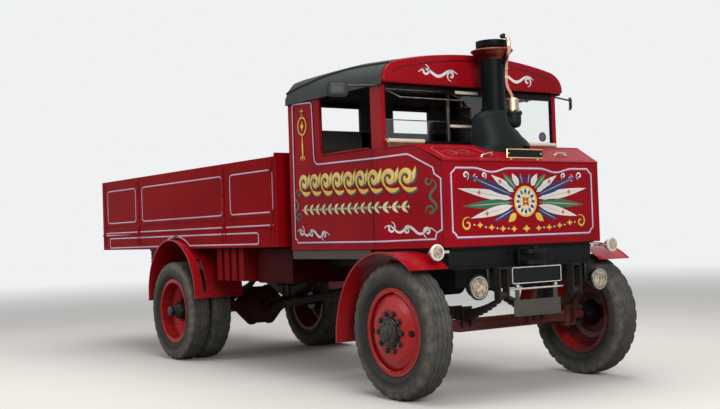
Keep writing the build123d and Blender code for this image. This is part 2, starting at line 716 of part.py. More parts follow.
with BuildPart() as tailboard:
    block((body_back_x, body_back_x + board_thick), (-tail_half, tail_half), (side_bottom, side_top))
    for side in (-1, 1):
        strap((body_back_x - hinge_out, side * tail_hinge_y, hinge_z), Vector(0, 1, 0), Vector(-1, 0, 0))
save(tailboard, "tailboard")

# Cab floor with the boards, the sills and the bulkhead behind the boiler
sill_low = 1046.0
floor_board = 20.0
fire_door_radius = 170.0
fire_door_z = 1420.0

with BuildPart() as cab_floor:
    block((cab_back_x, bulkhead_x - 14.0), (-cab_half + cab_wall, cab_half - cab_wall),
          (frame_top, frame_top + floor_board))
    for side in (-1, 1):
        block((cab_back_x, cab_front_x - 60.0), across(side, cab_half - 40.0, cab_half - 8.0),
              (sill_low, frame_top))
    block((bulkhead_x - 14.0, bulkhead_x - 6.0), (-cab_half + 40.0, cab_half - 40.0), (frame_top, deck_z - 12.0))
    with Locations((bulkhead_x - 10.0, 0, fire_door_z)):
        Cylinder(fire_door_radius + 30.0, 30.0, rotation=(0, 90, 0))
    with Locations((bulkhead_x - 30.0, 0, fire_door_z)):
        Cylinder(fire_door_radius, 26.0, rotation=(0, 90, 0))
save(cab_floor, "cab_floor")

# Cab back with two small rear windows
rear_window = ((190.0, 606.0), (2180.0, 2405.0))
back_top = 2440.0

with BuildPart() as cab_back:
    block((cab_back_x, cab_back_x + cab_wall), (-cab_half + cab_wall, cab_half - cab_wall),
          (frame_top + floor_board, back_top))
    for side in (-1, 1):
        block((cab_back_x - 5.0, cab_back_x + cab_wall + 5.0), across(side, *rear_window[0]), rear_window[1],
              mode=Mode.SUBTRACT)
save(cab_back, "cab_back")

# Cab sides. The right side is closed below the window, the left side leaves room for the door.
door_gap = 5.0
door_back_x = window_back_x + door_gap
door_front_x = cab_front_x - door_gap
door_hinge_y = cab_half + 9.0
roof_side = roof_half - 2.0
roof_rail_high = 14.0


def roof_rail(side):
    """Packing rail along a side's top edge, which the roof's skirt is fixed to."""
    block((cab_back_x, cab_front_x), across(side, cab_half, roof_side - roof_skin),
          (roof_skirt + 3.0, roof_skirt + 3.0 + roof_rail_high))


with BuildPart() as cab_side_right:
    low, high = across(-1, cab_half - cab_wall, cab_half)
    block((cab_back_x, cab_front_x), (low, high), (cab_bottom, cant_top))
    roof_rail(-1)
    block((window_back_x, cab_front_x + 1.0), (low - 5.0, high + 5.0), (sill_top, cant_bottom),
          mode=Mode.SUBTRACT)
    fillet(cab_side_right.edges().filter_by(Axis.Y).filter_by(
        lambda edge: abs(edge.center().X - window_back_x) < 1.0), 40.0)
save(cab_side_right, "cab_side_right")

with BuildPart() as cab_side_left:
    low, high = across(1, cab_half - cab_wall, cab_half)
    block((cab_back_x, cab_front_x), (low, high), (cab_bottom, cant_top))
    roof_rail(1)
    block((window_back_x, cab_front_x + 1.0), (low - 5.0, high + 5.0), (cab_bottom - 1.0, cant_bottom),
          mode=Mode.SUBTRACT)
    fillet(cab_side_left.edges().filter_by(Axis.Y).filter_by(
        lambda edge: abs(edge.center().X - window_back_x) < 1.0 and edge.center().Z > sill_top), 40.0)
save(cab_side_left, "cab_side_left")

# Half door on the left, hinged at its front edge
with BuildPart() as cab_door:
    low, high = across(1, cab_half - cab_wall, cab_half)
    block((door_back_x, door_front_x), (low, high), (cab_bottom + 6.0, sill_top))
    for hinge_height in (1250.0, 1780.0):
        with Locations((cab_front_x, door_hinge_y, hinge_height)):
            Cylinder(8.0, 60.0)
        block((door_front_x - 110.0, cab_front_x), (cab_half, cab_half + 5.0),
              (hinge_height - 24.0, hinge_height + 24.0))
    block((door_back_x + 30.0, door_back_x + 140.0), (cab_half, cab_half + 20.0), (1800.0, 1822.0))
save(cab_door, "cab_door_left")

# Housing sides: sheets that run on from the cab sides and then taper in to the front panel
taper_run = panel_x - taper_start_x
taper_in = cab_half - panel_half
taper_length = sqrt(taper_run ** 2 + taper_in ** 2)


def along_taper(x):
    """Distance along the tapering side for a station along the lorry."""
    return (x - taper_start_x) * taper_length / taper_run


def housing_half(x):
    """Half width of the outside of the housing at a station along the lorry."""
    return cab_half - (x - taper_start_x) * taper_in / taper_run


sheet_front_x = panel_x - panel_thick

with BuildPart() as housing_sides:
    for side in (-1, 1):
        block((cab_front_x, taper_start_x), across(side, cab_half - housing_sheet, cab_half),
              (cab_bottom, sill_top - 4.0))
        face = Plane(origin=(taper_start_x, side * cab_half, 0), x_dir=(taper_run, -side * taper_in, 0),
                     z_dir=(-taper_in, -side * taper_run, 0))
        with BuildSketch(face) as sheet:
            with BuildLine():
                rise = 1.0 if abs(face.y_dir.Z - 1.0) < 0.01 else -1.0
                Polyline([(along_taper(x), rise * z) for x, z in [
                    (taper_start_x, cab_bottom), (sheet_front_x, cab_bottom), (sheet_front_x, panel_top - 10.0),
                    (deck_front_x, deck_z - 10.0), (screen_front_x, deck_z - 10.0),
                    (screen_front_x, sill_top - 4.0), (taper_start_x, sill_top - 4.0),
                ]], close=True)
            make_face()
        extrude(sheet.sketch, amount=housing_sheet)
save(housing_sides, "housing_sides")

# Front panel with rounded top corners
with BuildPart() as front_panel:
    block((panel_x - panel_thick, panel_x), (-panel_half, panel_half), (cab_bottom, panel_top))
    fillet(front_panel.edges().filter_by(Axis.Z), 5.0)
save(front_panel, "front_panel")

# Hood: the deck in front of the windscreen and its front slope, notched for the smokebox saddle
hood_sheet = 8.0
hood_lip = 6.0
notch_half = 272.0
notch_front_x = deck_front_x + 125.0

with BuildPart() as hood:
    with BuildSketch(Plane.XZ.offset(-cab_half)) as hood_side:
        with BuildLine():
            Polyline([
                (screen_front_x, deck_z), (deck_front_x, deck_z), (panel_x + hood_lip, panel_top + 1.0),
                (panel_x + hood_lip, panel_top - hood_sheet), (panel_x, panel_top - hood_sheet),
                (panel_x, panel_top), (panel_x - 4.0, panel_top),
                (deck_front_x, deck_z - hood_sheet), (screen_front_x, deck_z - hood_sheet),
            ], close=True)
        make_face()
    extrude(hood_side.sketch, amount=2 * cab_half)
    for side in (-1, 1):
        with BuildSketch(Plane.XY.offset(panel_top - 60.0)) as beyond:
            with BuildLine():
                Polyline([
                    (screen_front_x - 10.0, side * (housing_half(screen_front_x - 10.0) + hood_lip)),
                    (panel_x + 30.0, side * (housing_half(panel_x + 30.0) + hood_lip)),
                    (panel_x + 30.0, side * (cab_half + 50.0)),
                    (screen_front_x - 10.0, side * (cab_half + 50.0)),
                ], close=True)
            make_face()
        extrude(beyond.sketch, amount=300.0, mode=Mode.SUBTRACT)
    block((screen_front_x + 60.0, notch_front_x - 130.0), (-notch_half, notch_half),
          (panel_top - 40.0, deck_z + 40.0), mode=Mode.SUBTRACT)
    with BuildSketch(Plane.XY.offset(panel_top - 40.0)) as notch:
        with Locations((notch_front_x - 130.0, 0)):
            Ellipse(130.0, notch_half)
    extrude(notch.sketch, amount=200.0, mode=Mode.SUBTRACT)
save(hood, "hood")

# Smokebox saddle: a casting that sweeps out from the chimney's foot over the drum, with a cross pipe
# through it that carries the safety valve on its left end
saddle_top = 2190.0
saddle_sweep = [(1640.0, 172.0, 262.0), (1905.0, 172.0, 262.0), (1950.0, 166.0, 250.0), (2000.0, 155.0, 222.0),
                (2060.0, 146.0, 194.0), (2130.0, 142.0, 166.0), (saddle_top, 142.0, 146.0)]
cross_pipe_z = 2112.0
cross_pipe_radius = 68.0
cross_pipe_ends = (-205.0, 252.0)
valve_x = chimney_x + 20.0
valve_y = 188.0
valve_seat_z = 2190.0
valve_seat_thick = 16.0
valve_seat_radius = 60.0

with BuildPart() as smokebox_saddle:
    with BuildSketch(Plane.XY.offset(saddle_sweep[0][0])) as saddle_root:
        with Locations((chimney_x, 0)):
            Ellipse(*saddle_sweep[0][1:])
    extrude(saddle_root.sketch, amount=saddle_sweep[1][0] - saddle_sweep[0][0])
    sweep_sections = []
    for height, half_x, half_y in saddle_sweep[1:]:
        with BuildSketch(Plane.XY.offset(height)) as saddle_section:
            with Locations((chimney_x, 0)):
                Ellipse(half_x, half_y)
        sweep_sections.append(saddle_section.sketch)
    loft(sweep_sections)
    with Locations((chimney_x, sum(cross_pipe_ends) / 2, cross_pipe_z)):
        Cylinder(cross_pipe_radius, cross_pipe_ends[1] - cross_pipe_ends[0], rotation=(90, 0, 0))
    with Locations((valve_x, valve_y, cross_pipe_z)):
        Cylinder(cross_pipe_radius * 0.7, valve_seat_z - valve_seat_thick - cross_pipe_z,
                 align=(Align.CENTER, Align.CENTER, Align.MIN))
    with Locations((valve_x, valve_y, valve_seat_z - valve_seat_thick)):
        Cylinder(valve_seat_radius, valve_seat_thick, align=(Align.CENTER, Align.CENTER, Align.MIN))
    with Locations((drum_x, 0, drum_z)):
        Cylinder(drum_radius + seat_gap, 2 * drum_half, rotation=(90, 0, 0), mode=Mode.SUBTRACT)
save(smokebox_saddle, "smokebox_saddle")

saddle_neck = 138.0
chimney_radius = 94.0
chimney_bore = 78.0
chimney_cap_z = 2602.0
chimney_top = 2752.0


def stack_ring(points):
    """A ring turned about the chimney's axis. Points are (radius, height)."""
    with BuildSketch(Plane.XZ) as section:
        with BuildLine():
            Polyline([(chimney_x + r, z) for r, z in points], close=True)
        make_face()
    revolve(section.sketch, axis=Axis((chimney_x, 0, 0), (0, 0, 1)))


with BuildPart() as chimney:
    stack_ring([
        (chimney_bore, saddle_top), (saddle_neck, saddle_top), (saddle_neck, saddle_top + 14.0),
        (chimney_radius + 12.0, saddle_top + 20.0), (chimney_radius + 8.0, saddle_top + 62.0),
        (chimney_radius, saddle_top + 66.0), (chimney_radius, chimney_top - 60.0),
        (chimney_radius + 30.0, chimney_top - 50.0), (chimney_radius + 33.0, chimney_top),
        (chimney_radius + 20.0, chimney_top), (chimney_bore, chimney_top - 55.0),
    ])
save(chimney, "chimney")

with BuildPart() as chimney_cap:
    cap_bore = chimney_radius + seat_gap
    stack_ring([
        (cap_bore, chimney_cap_z), (cap_bore + 8.0, chimney_cap_z), (cap_bore + 14.0, chimney_cap_z + 20.0),
        (cap_bore + 34.0, chimney_cap_z + 48.0), (cap_bore + 70.0, chimney_cap_z + 62.0),
        (cap_bore + 76.0, chimney_cap_z + 70.0), (cap_bore + 68.0, chimney_cap_z + 80.0),
        (cap_bore + 40.0, chimney_cap_z + 86.0), (cap_bore, chimney_cap_z + 86.0),
    ])
save(chimney_cap, "chimney_cap")

# Safety valve on the cross pipe's seat, with its blow-off pipe up the front of the chimney
pipe_radius = 14.0
valve_top = 2300.0

with BuildPart() as safety_valve:
    with BuildSketch(Plane.XZ.offset(-valve_y)) as valve_section:
        with BuildLine():
            Polyline([(valve_x, valve_seat_z), (valve_x + 48.0, valve_seat_z), (valve_x + 48.0, valve_seat_z + 12.0),
                      (valve_x + 33.0, valve_seat_z + 18.0), (valve_x + 33.0, valve_top - 40.0),
                      (valve_x + 39.0, valve_top - 36.0), (valve_x + 39.0, valve_top - 18.0),
                      (valve_x + 22.0, valve_top - 8.0), (valve_x + 20.0, valve_top), (valve_x, valve_top)], close=True)
        make_face()
    revolve(valve_section.sketch, axis=Axis((valve_x, valve_y, 0), (0, 0, 1)))
save(safety_valve, "safety_valve")

with BuildPart() as blow_off_pipe:
    pipe_points = [
        (valve_x, valve_y, valve_top + seat_gap), (valve_x, valve_y, 2330.0), (chimney_x + 84.0, 92.0, 2440.0),
        (chimney_x + 98.0, 66.0, 2560.0), (chimney_x + 188.0, 8.0, 2640.0), (chimney_x + 188.0, 8.0, 2806.0),
    ]
    with BuildLine() as pipe_line:
        FilletPolyline(*pipe_points, radius=[14.0, 70.0, 60.0, 60.0])
    with BuildSketch(Plane(origin=pipe_points[0], z_dir=(0, 0, 1))) as pipe_section:
        Circle(pipe_radius)
    sweep(pipe_section.sketch, path=pipe_line.line)
save(blow_off_pipe, "blow_off_pipe")

# Windscreen frame: a deep pillar on the right and a slim one on the left, header, sill, two mullions and
# the rail across the middle light. The driver's upper pane is swung out on its top edge.
pillar_face = 24.0
screen_x = screen_front_x - 30.0
header_low = 2345.0
screen_sill = deck_z + 60.0
mullion_y = 255.0
mullion_half = 11.0
cross_rail_z = 2127.0
glass_thick = 6.0
pillar_in = cab_half - cab_wall - pillar_face
header_front_x = screen_x + 22.0
open_pane_turn = radians(66.0)
open_pane_length = 222.0
open_pane_top = header_low + 14.0
pane_tops = {-1: cross_rail_z, 1: header_low}

with BuildPart() as windscreen_frame:
    block((cab_front_x + 1.0, screen_front_x), across(-1, cab_half - cab_wall, cab_half - 2.0),
          (sill_top - 3.0, cant_top))
    for z_low, z_high in ((sill_top - 3.0, sill_top + 22.0), (cant_bottom, cant_top)):
        block((cab_front_x + 1.0, screen_front_x), across(1, cab_half - cab_wall, cab_half - 2.0), (z_low, z_high))
    for side in (-1, 1):
        block((screen_front_x - 40.0, screen_front_x), across(side, pillar_in, cab_half - 2.0),
              (deck_z, cant_top))
        block((screen_x - 4.0, screen_x + 14.0), across(side, mullion_y - mullion_half, mullion_y + mullion_half),
              (screen_sill, header_low))
    block((screen_x - 8.0, header_front_x), (-pillar_in, pillar_in), (header_low, cant_top))
    block((screen_x - 8.0, header_front_x), (-pillar_in, pillar_in), (deck_z, screen_sill))
    block((screen_x - 4.0, screen_x + 14.0), (-mullion_y, mullion_y),
          (cross_rail_z - mullion_half, cross_rail_z + mullion_half))
save(windscreen_frame, "windscreen_frame")

with BuildPart() as windscreen_glass:
    for side in (-1, 1):
        block((screen_x, screen_x + glass_thick), across(side, mullion_y + mullion_half, pillar_in),
              (screen_sill, pane_tops[side]))
    for z_low, z_high in ((screen_sill, cross_rail_z - mullion_half), (cross_rail_z + mullion_half, header_low)):
        block((screen_x, screen_x + glass_thick), (-mullion_y + mullion_half, mullion_y - mullion_half),
              (z_low, z_high))
    with BuildSketch(Plane(origin=(header_front_x + 0.2, 0, open_pane_top), x_dir=(0, 1, 0),
                           z_dir=(cos(open_pane_turn), 0, sin(open_pane_turn)))) as open_pane:
        with Locations((-(mullion_y + pillar_in) / 2, -open_pane_length / 2)):
            Rectangle(pillar_in - mullion_y - mullion_half, open_pane_length)
    extrude(open_pane.sketch, amount=glass_thick)
save(windscreen_glass, "windscreen_glass")


def roof_section(x, crown, half, inset):
    """Arched section of the roof at a station, drawn in by an inset on the inside."""
    corner = 120.0
    shoulder_z = crown - 85.0 - inset
    with BuildSketch(Plane.YZ.offset(x)) as section:
        with BuildLine():
            Line((-half + inset, roof_skirt), (half - inset, roof_skirt))
            Line((half - inset, roof_skirt), (half - inset, shoulder_z - 60.0))
            ThreePointArc((half - inset, shoulder_z - 60.0),
                          (half - inset - corner * 0.29, shoulder_z - 60.0 + corner * 0.58),
                          (half - inset - corner, shoulder_z + 30.0))
            ThreePointArc((half - inset - corner, shoulder_z + 30.0), (0, crown - inset),
                          (-half + inset + corner, shoulder_z + 30.0))
            ThreePointArc((-half + inset + corner, shoulder_z + 30.0),
                          (-half + inset + corner * 0.29, shoulder_z - 60.0 + corner * 0.58),
                          (-half + inset, shoulder_z - 60.0))
            Line((-half + inset, shoulder_z - 60.0), (-half + inset, roof_skirt))
        make_face()
    return section.sketch


# Roof: canvas over an arched frame, curving down at the back, as a shell with a skirt
roof_back_x = cab_back_x - roof_skin - 2.0
roof_stations = [(roof_back_x, 2580.0), (roof_back_x + 180.0, 2640.0), (roof_back_x + 520.0, 2690.0),
                 (roof_back_x + 950.0, 2700.0), (peak_back_x, 2668.0)]

with BuildPart() as roof:
    for (x_low, crown_low), (x_high, crown_high) in zip(roof_stations[:-1], roof_stations[1:]):
        loft([roof_section(x_low, crown_low, roof_side, 0.0),
              roof_section(x_high, crown_high, roof_side, 0.0)], ruled=True)
    for index, ((x_low, crown_low), (x_high, crown_high)) in enumerate(zip(roof_stations[:-1], roof_stations[1:])):
        start = x_low + roof_skin if index == 0 else x_low
        loft([roof_section(start, crown_low, roof_side, roof_skin),
              roof_section(x_high, crown_high, roof_side, roof_skin)], ruled=True, mode=Mode.SUBTRACT)
save(roof, "roof")

# Peak: the rigid red board at the front of the roof, open behind
with BuildPart() as roof_peak:
    extrude(roof_section(peak_back_x, 2668.0, roof_half, 0.0), amount=peak_front_x - peak_back_x)
    extrude(roof_section(peak_back_x, 2668.0, roof_half, roof_skin), amount=peak_front_x - peak_back_x - peak_board,
            mode=Mode.SUBTRACT)
save(roof_peak, "roof_peak")

# Driver's bench with its cushions
bench_front_x = cab_back_x + cab_wall + 470.0
bench_top = 1540.0
bench_half = 880.0

with BuildPart() as bench:
    block((cab_back_x + cab_wall, bench_front_x), (-bench_half, bench_half), (frame_top + floor_board, bench_top))
save(bench, "bench")

with BuildPart() as seat_cushions:
    block((cab_back_x + cab_wall + 60.0, bench_front_x + 15.0), (-bench_half + 10.0, bench_half - 10.0),
          (bench_top + seat_gap, bench_top + 90.0))
    block((cab_back_x + cab_wall + seat_gap, cab_back_x + cab_wall + 59.0), (-bench_half + 10.0, bench_half - 10.0),
          (bench_top + seat_gap, bench_top + 470.0))
save(seat_cushions, "seat_cushions")

# Steering column and wheel at the right-hand seat
wheel_centre = Vector(rear_axle_x + 3170.0, -430.0, 1880.0)
column_foot = Vector(rear_axle_x + 3480.0, -430.0, frame_top + floor_board)
wheel_radius = 240.0

with BuildPart() as steering_column:
    column_way = (wheel_centre - column_foot).normalized()
    rod(tuple(column_foot + column_way * 14.0), tuple(wheel_centre), 19.0)
    wheel_plane = Plane(origin=wheel_centre, z_dir=column_way)
    with Locations(wheel_plane.location):
        Torus(wheel_radius, 13.0)
        Cylinder(45.0, 36.0)
    for index in range(4):
        turn = radians(90.0 * index + 45.0)
        tip = wheel_centre + wheel_plane.x_dir * (wheel_radius * cos(turn)) + \
            wheel_plane.y_dir * (wheel_radius * sin(turn))
        rod(tuple(wheel_centre), tuple(tip), 9.0)
    with Locations(tuple(column_foot)):
        Cylinder(60.0, 24.0, align=(Align.CENTER, Align.CENTER, Align.MIN))
save(steering_column, "steering_column")

# Mirrors on arms from the windscreen pillars, each turned to face the driver on the right
mirror_x = rear_axle_x + 3540.0
mirror_z = 2352.0
mirror_wide = 160.0
mirror_high = 106.0
mirror_thick = 16.0
mirror_reach = 1327.0
mirror_turns = {-1: 20.0, 1: 45.0}

with BuildPart() as mirrors:
    for side in (-1, 1):
        turn = radians(mirror_turns[side])
        mirror_y = side * (mirror_reach - mirror_wide / 2 * cos(turn) - mirror_thick / 2 * sin(turn))
        mirror_plane = Plane(origin=(mirror_x, mirror_y, mirror_z), x_dir=(-side * sin(turn), cos(turn), 0),
                             z_dir=(cos(turn), side * sin(turn), 0))
        with BuildSketch(mirror_plane) as mirror_face:
            RectangleRounded(mirror_wide, mirror_high, 38.0)
        extrude(mirror_face.sketch, amount=mirror_thick / 2, both=True)
        block((screen_front_x - 36.0, screen_front_x - 4.0), across(side, cab_half - 2.0, cab_half + 4.0),
              (2360.0, 2398.0))
        rod((screen_front_x - 20.0, side * (cab_half + 2.0), 2386.0), (mirror_x, mirror_y, mirror_z + 30.0), 8.0)
save(mirrors, "mirrors")


def lamp(x_glass, y, z, radius, depth):
    """A bowl-shaped lamp facing forward, its rim at the glass."""
    with BuildSketch(Plane.XY.offset(z)) as half_section:
        with BuildLine():
            Polyline([(x_glass, y), (x_glass, y + radius - 5.0), (x_glass - 4.0, y + radius),
                      (x_glass - 20.0, y + radius), (x_glass - 20.0, y + radius - 8.0)])
            ThreePointArc((x_glass - 20.0, y + radius - 8.0),
                          (x_glass - 0.62 * depth, y + 0.68 * radius), (x_glass - depth, y + 0.25 * radius))
            Line((x_glass - depth, y + 0.25 * radius), (x_glass - depth, y))
            Line((x_glass - depth, y), (x_glass, y))
        make_face()
    revolve(half_section.sketch, axis=Axis((x_glass, y, z), (1, 0, 0)))


# Headlamps on a bar under the front beam, and side lamps on brackets at the panel's lower corners
headlamp_x = rear_axle_x + front_reach
headlamp_y = 634.0
headlamp_z = 826.0
headlamp_radius = 92.0
sidelamp_x = rear_axle_x + 4285.0
sidelamp_y = 921.0
sidelamp_z = 1092.0
sidelamp_radius = 58.0

with BuildPart() as headlamps:
    for side in (-1, 1):
        lamp(headlamp_x, side * headlamp_y, headlamp_z, headlamp_radius, 130.0)
        block((beam_back_x + 12.0, headlamp_x - 40.0), across(side, headlamp_y - 130.0, headlamp_y - 110.0),
              (frame_bottom - 13.0, frame_bottom - 5.0))
        block((headlamp_x - 60.0, headlamp_x - 40.0), across(side, headlamp_y - 130.0, headlamp_y - 110.0),
              (headlamp_z - 10.0, frame_bottom - 5.0))
        rod((headlamp_x - 50.0, side * (headlamp_y - 130.0), headlamp_z), (headlamp_x - 50.0, side * headlamp_y, headlamp_z),
            12.0)
save(headlamps, "headlamps")

with BuildPart() as side_lamps:
    for side in (-1, 1):
        lamp(sidelamp_x, side * sidelamp_y, sidelamp_z, sidelamp_radius, 95.0)
        block((panel_x - 60.0, panel_x - 40.0), across(side, beam_half, sidelamp_y), (sidelamp_z - 10.0, sidelamp_z + 10.0))
        block((panel_x - 60.0, sidelamp_x - 40.0), across(side, sidelamp_y - 12.0, sidelamp_y + 12.0),
              (sidelamp_z - 10.0, sidelamp_z + 10.0))
save(side_lamps, "side_lamps")

# Plates under the front beam: the registration plate and the lipped step plate below it
plate_x = rear_axle_x + 4330.0

with BuildPart() as front_plates:
    block((plate_x, plate_x + 6.0), (-270.0, 270.0), (830.0, frame_bottom))
    block((beam_back_x + 12.0, plate_x), (-220.0, -180.0), (frame_bottom - 11.0, frame_bottom - 5.0))
    block((beam_back_x + 12.0, plate_x), (180.0, 220.0), (frame_bottom - 11.0, frame_bottom - 5.0))
    for hanger_y in (-200.0, 200.0):
        block((plate_x - 8.0, plate_x), (hanger_y - 20.0, hanger_y + 20.0), (590.0, frame_bottom - 5.0))
    block((plate_x, plate_x + 6.0), (-245.0, 245.0), (590.0, 706.0))
    block((plate_x, plate_x + 34.0), (-245.0, 245.0), (584.0, 590.0))
save(front_plates, "front_plates")
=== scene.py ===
from math import acos, cos, hypot, pi, radians, sin, sqrt

import bmesh
import bpy
from mathutils import Matrix, Vector


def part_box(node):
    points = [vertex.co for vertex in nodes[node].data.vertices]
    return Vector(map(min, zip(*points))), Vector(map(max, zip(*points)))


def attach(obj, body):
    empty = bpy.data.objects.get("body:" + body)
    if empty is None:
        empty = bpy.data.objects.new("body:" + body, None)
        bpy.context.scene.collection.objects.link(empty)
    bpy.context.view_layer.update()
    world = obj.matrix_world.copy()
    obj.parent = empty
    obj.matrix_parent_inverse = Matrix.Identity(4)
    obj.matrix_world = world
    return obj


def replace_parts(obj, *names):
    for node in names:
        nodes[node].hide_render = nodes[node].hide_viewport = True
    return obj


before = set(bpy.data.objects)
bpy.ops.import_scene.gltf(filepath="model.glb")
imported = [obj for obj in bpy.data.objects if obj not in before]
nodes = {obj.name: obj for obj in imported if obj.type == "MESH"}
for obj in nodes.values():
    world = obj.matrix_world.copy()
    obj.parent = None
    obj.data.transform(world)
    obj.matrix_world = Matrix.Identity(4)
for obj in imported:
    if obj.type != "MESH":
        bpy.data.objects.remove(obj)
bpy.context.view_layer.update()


# The view: a person's eye height, off the lorry's right front corner, on a plain pale studio floor that fades
# into the backdrop and throws less light back than it shows. All sizes are in metres, and stations along the
# lorry are counted forward from the rear axle.
AHEAD, LEFT, UP = Vector((1, 0, 0)), Vector((0, 1, 0)), Vector((0, 0, 1))
rear_axle_x = sum(corner.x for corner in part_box("rear_tyres_right")) / 2


def in_scene(name, data):
    """A new object in the scene."""
    made = bpy.data.objects.new(name, data)
    bpy.context.scene.collection.objects.link(made)
    return made


eye = Vector((rear_axle_x + 10.221, -5.736, 1.245))
yaw, pitch, roll = -0.9615, 0.0279, -0.0335
look = Vector((sin(yaw) * cos(pitch), cos(yaw) * cos(pitch), sin(pitch)))
level_right = Vector((cos(yaw), -sin(yaw), 0))
level_up = level_right.cross(look)
eye_right = level_right * cos(roll) + level_up * sin(roll)
eye_up = level_up * cos(roll) - level_right * sin(roll)
camera_data = bpy.data.cameras.new("camera")
camera_data.sensor_width = 36.0
camera_data.lens = 52.83
camera = in_scene("camera", camera_data)
camera.matrix_world = Matrix([(eye_right[k], eye_up[k], -look[k], eye[k]) for k in range(3)] + [(0, 0, 0, 1)])
bpy.context.scene.camera = camera
bpy.context.scene.view_settings.view_transform = "Standard"

for name, place, target, size, power in (
        ("overhead", (0.6, 0.4, 7.5), (0, 0, 0), (9.0, 6.0), 640.0),
        ("front_quarter", (9.6, -2.6, 4.2), (0.8, 0, 1.3), (5.0, 3.5), 470.0),
        ("side", (-2.5, -9.0, 4.2), (-0.6, 0, 1.2), (6.0, 3.0), 250.0)):
    light_data = bpy.data.lights.new(name, "AREA")
    light_data.shape = "RECTANGLE"
    light_data.size, light_data.size_y = size
    light_data.energy = power
    light = in_scene(name, light_data)
    light.location = place
    light.rotation_euler = (Vector(target) - Vector(place)).to_track_quat("-Z", "Y").to_euler()


def add_node(tree, kind, inputs=None, **settings):
    """One shader node, with its settings and the values or links of its inputs."""
    node = tree.nodes.new(kind)
    for key, value in settings.items():
        setattr(node, key, value)
    for key, value in (inputs or {}).items():
        if isinstance(value, bpy.types.NodeSocket):
            tree.links.new(value, node.inputs[key])
        else:
            node.inputs[key].default_value = value
    return node


def calc(tree, operation, *values, clamp=False):
    """The result of one sum on shader values."""
    return add_node(tree, "ShaderNodeMath", dict(enumerate(values)), operation=operation,
                    use_clamp=clamp).outputs[0]


def ramp(tree, value, low, high, to_low=0.0, to_high=1.0, **settings):
    """A value carried from one range into another and held inside it."""
    inputs = {"Value": value, "From Min": low, "From Max": high, "To Min": to_low, "To Max": to_high}
    return add_node(tree, "ShaderNodeMapRange", inputs, **settings).outputs[0]


def blend(tree, share, first, second):
    """A colour between two others."""
    inputs = {"Factor": share, "A": first, "B": second}
    return add_node(tree, "ShaderNodeMix", inputs, data_type="RGBA").outputs["Result"]


def surface(tree, output="Object"):
    """Where the surface lies, or with another output the way it looks."""
    return add_node(tree, "ShaderNodeTexCoord").outputs[output]


def seen_rays(tree):
    """One for a ray from the camera, a reflection or a pane of glass, and nought for light."""
    path = add_node(tree, "ShaderNodeLightPath").outputs
    direct = calc(tree, "MAXIMUM", path["Is Camera Ray"], path["Is Glossy Ray"])
    return calc(tree, "MAXIMUM", direct, path["Is Transmission Ray"])


backdrop_white = (0.87, 0.88, 0.89, 1)
world = bpy.data.worlds.new("studio")
bpy.context.scene.world = world
world.use_nodes = True
sky = world.node_tree
sky.nodes.clear()
sky_fill = add_node(sky, "ShaderNodeBackground", {"Color": (0.82, 0.85, 0.88, 1), "Strength": 0.40})
sky_white = add_node(sky, "ShaderNodeBackground", {"Color": backdrop_white, "Strength": 1.0})
sky_mix = add_node(sky, "ShaderNodeMixShader", {0: seen_rays(sky), 1: sky_fill.outputs[0],
                                                2: sky_white.outputs[0]})
add_node(sky, "ShaderNodeOutputWorld", {"Surface": sky_mix.outputs[0]})


def new_finish(name, slot=None, **constants):
    """An empty finish with a plain shader. Constants go on the shader. The slot is not used."""
    finish = bpy.data.materials.new(name)
    finish.use_nodes = True
    shader = finish.node_tree.nodes["Principled BSDF"]
    for key, value in constants.items():
        shader.inputs[key.replace("_", " ").title().replace("Ior", "IOR")].default_value = value
    return finish, finish.node_tree, shader


def round_points(centre, first, second, radius, count):
    """Points round a centre, in the plane of two unit directions."""
    turns = [2 * pi * k / count for k in range(count)]
    return [centre + (first * cos(turn) + second * sin(turn)) * radius for turn in turns]


def skin(shape, rings, close_ring=True, cap=True, around=False):
    """Faces between rings of points, with a flat cap on each end, or around with the last ring joined on."""
    made = [[shape.verts.new(point) for point in ring] for ring in rings]
    count = len(made[0])
    for low, high in zip(made, made[1:] + (made[:1] if around else [])):
        for step in range(count if close_ring else count - 1):
            after = (step + 1) % count
            shape.faces.new((low[step], low[after], high[after], high[step]))
    if cap:
        shape.faces.new(list(reversed(made[0])))
        shape.faces.new(made[-1])


floor_radius, floor_rings, floor_sides = 60.0, 12, 96
floor_shape = bmesh.new()
floor_loops = [round_points(Vector(), AHEAD, LEFT, floor_radius * (k / floor_rings) ** 2 + 0.01, floor_sides)
               for k in range(floor_rings, -1, -1)]
skin(floor_shape, floor_loops, cap=False)
floor_shape.faces.new([floor_shape.verts.new(point) for point in floor_loops[-1]])
floor_mesh = bpy.data.meshes.new("studio_floor")
floor_shape.to_mesh(floor_mesh)
floor_shape.free()
floor = in_scene("studio_floor", floor_mesh)
floor_finish, floor_tree, floor_shader = new_finish("studio_floor")
floor_seen = seen_rays(floor_tree)
floor_tree.links.new(blend(floor_tree, floor_seen, (0.17, 0.155, 0.13, 1), (0.64, 0.61, 0.57, 1)),
                     floor_shader.inputs["Base Color"])
floor_shader.inputs["Roughness"].default_value = 0.9
floor_away = add_node(floor_tree, "ShaderNodeVectorMath", {0: surface(floor_tree)}, operation="LENGTH")
floor_fade = ramp(floor_tree, floor_away.outputs["Value"], 3.5, 26.0, interpolation_type="SMOOTHSTEP")
floor_glow = add_node(floor_tree, "ShaderNodeEmission", {"Color": backdrop_white, "Strength": 1.0})
floor_mix = add_node(floor_tree, "ShaderNodeMixShader",
                     {0: calc(floor_tree, "MULTIPLY", floor_fade, floor_seen),
                      1: floor_shader.outputs[0], 2: floor_glow.outputs[0]})
floor_tree.links.new(floor_mix.outputs[0], floor_tree.nodes["Material Output"].inputs["Surface"])
floor_mesh.materials.append(floor_finish)


# Chassis frame and front beam: rolled steel channels, riveted together and painted black.
# The front beam is a deeper pressing that is open to the front, with the towing jaw bolted at its middle.
sides = ((-1, "right"), (1, "left"))


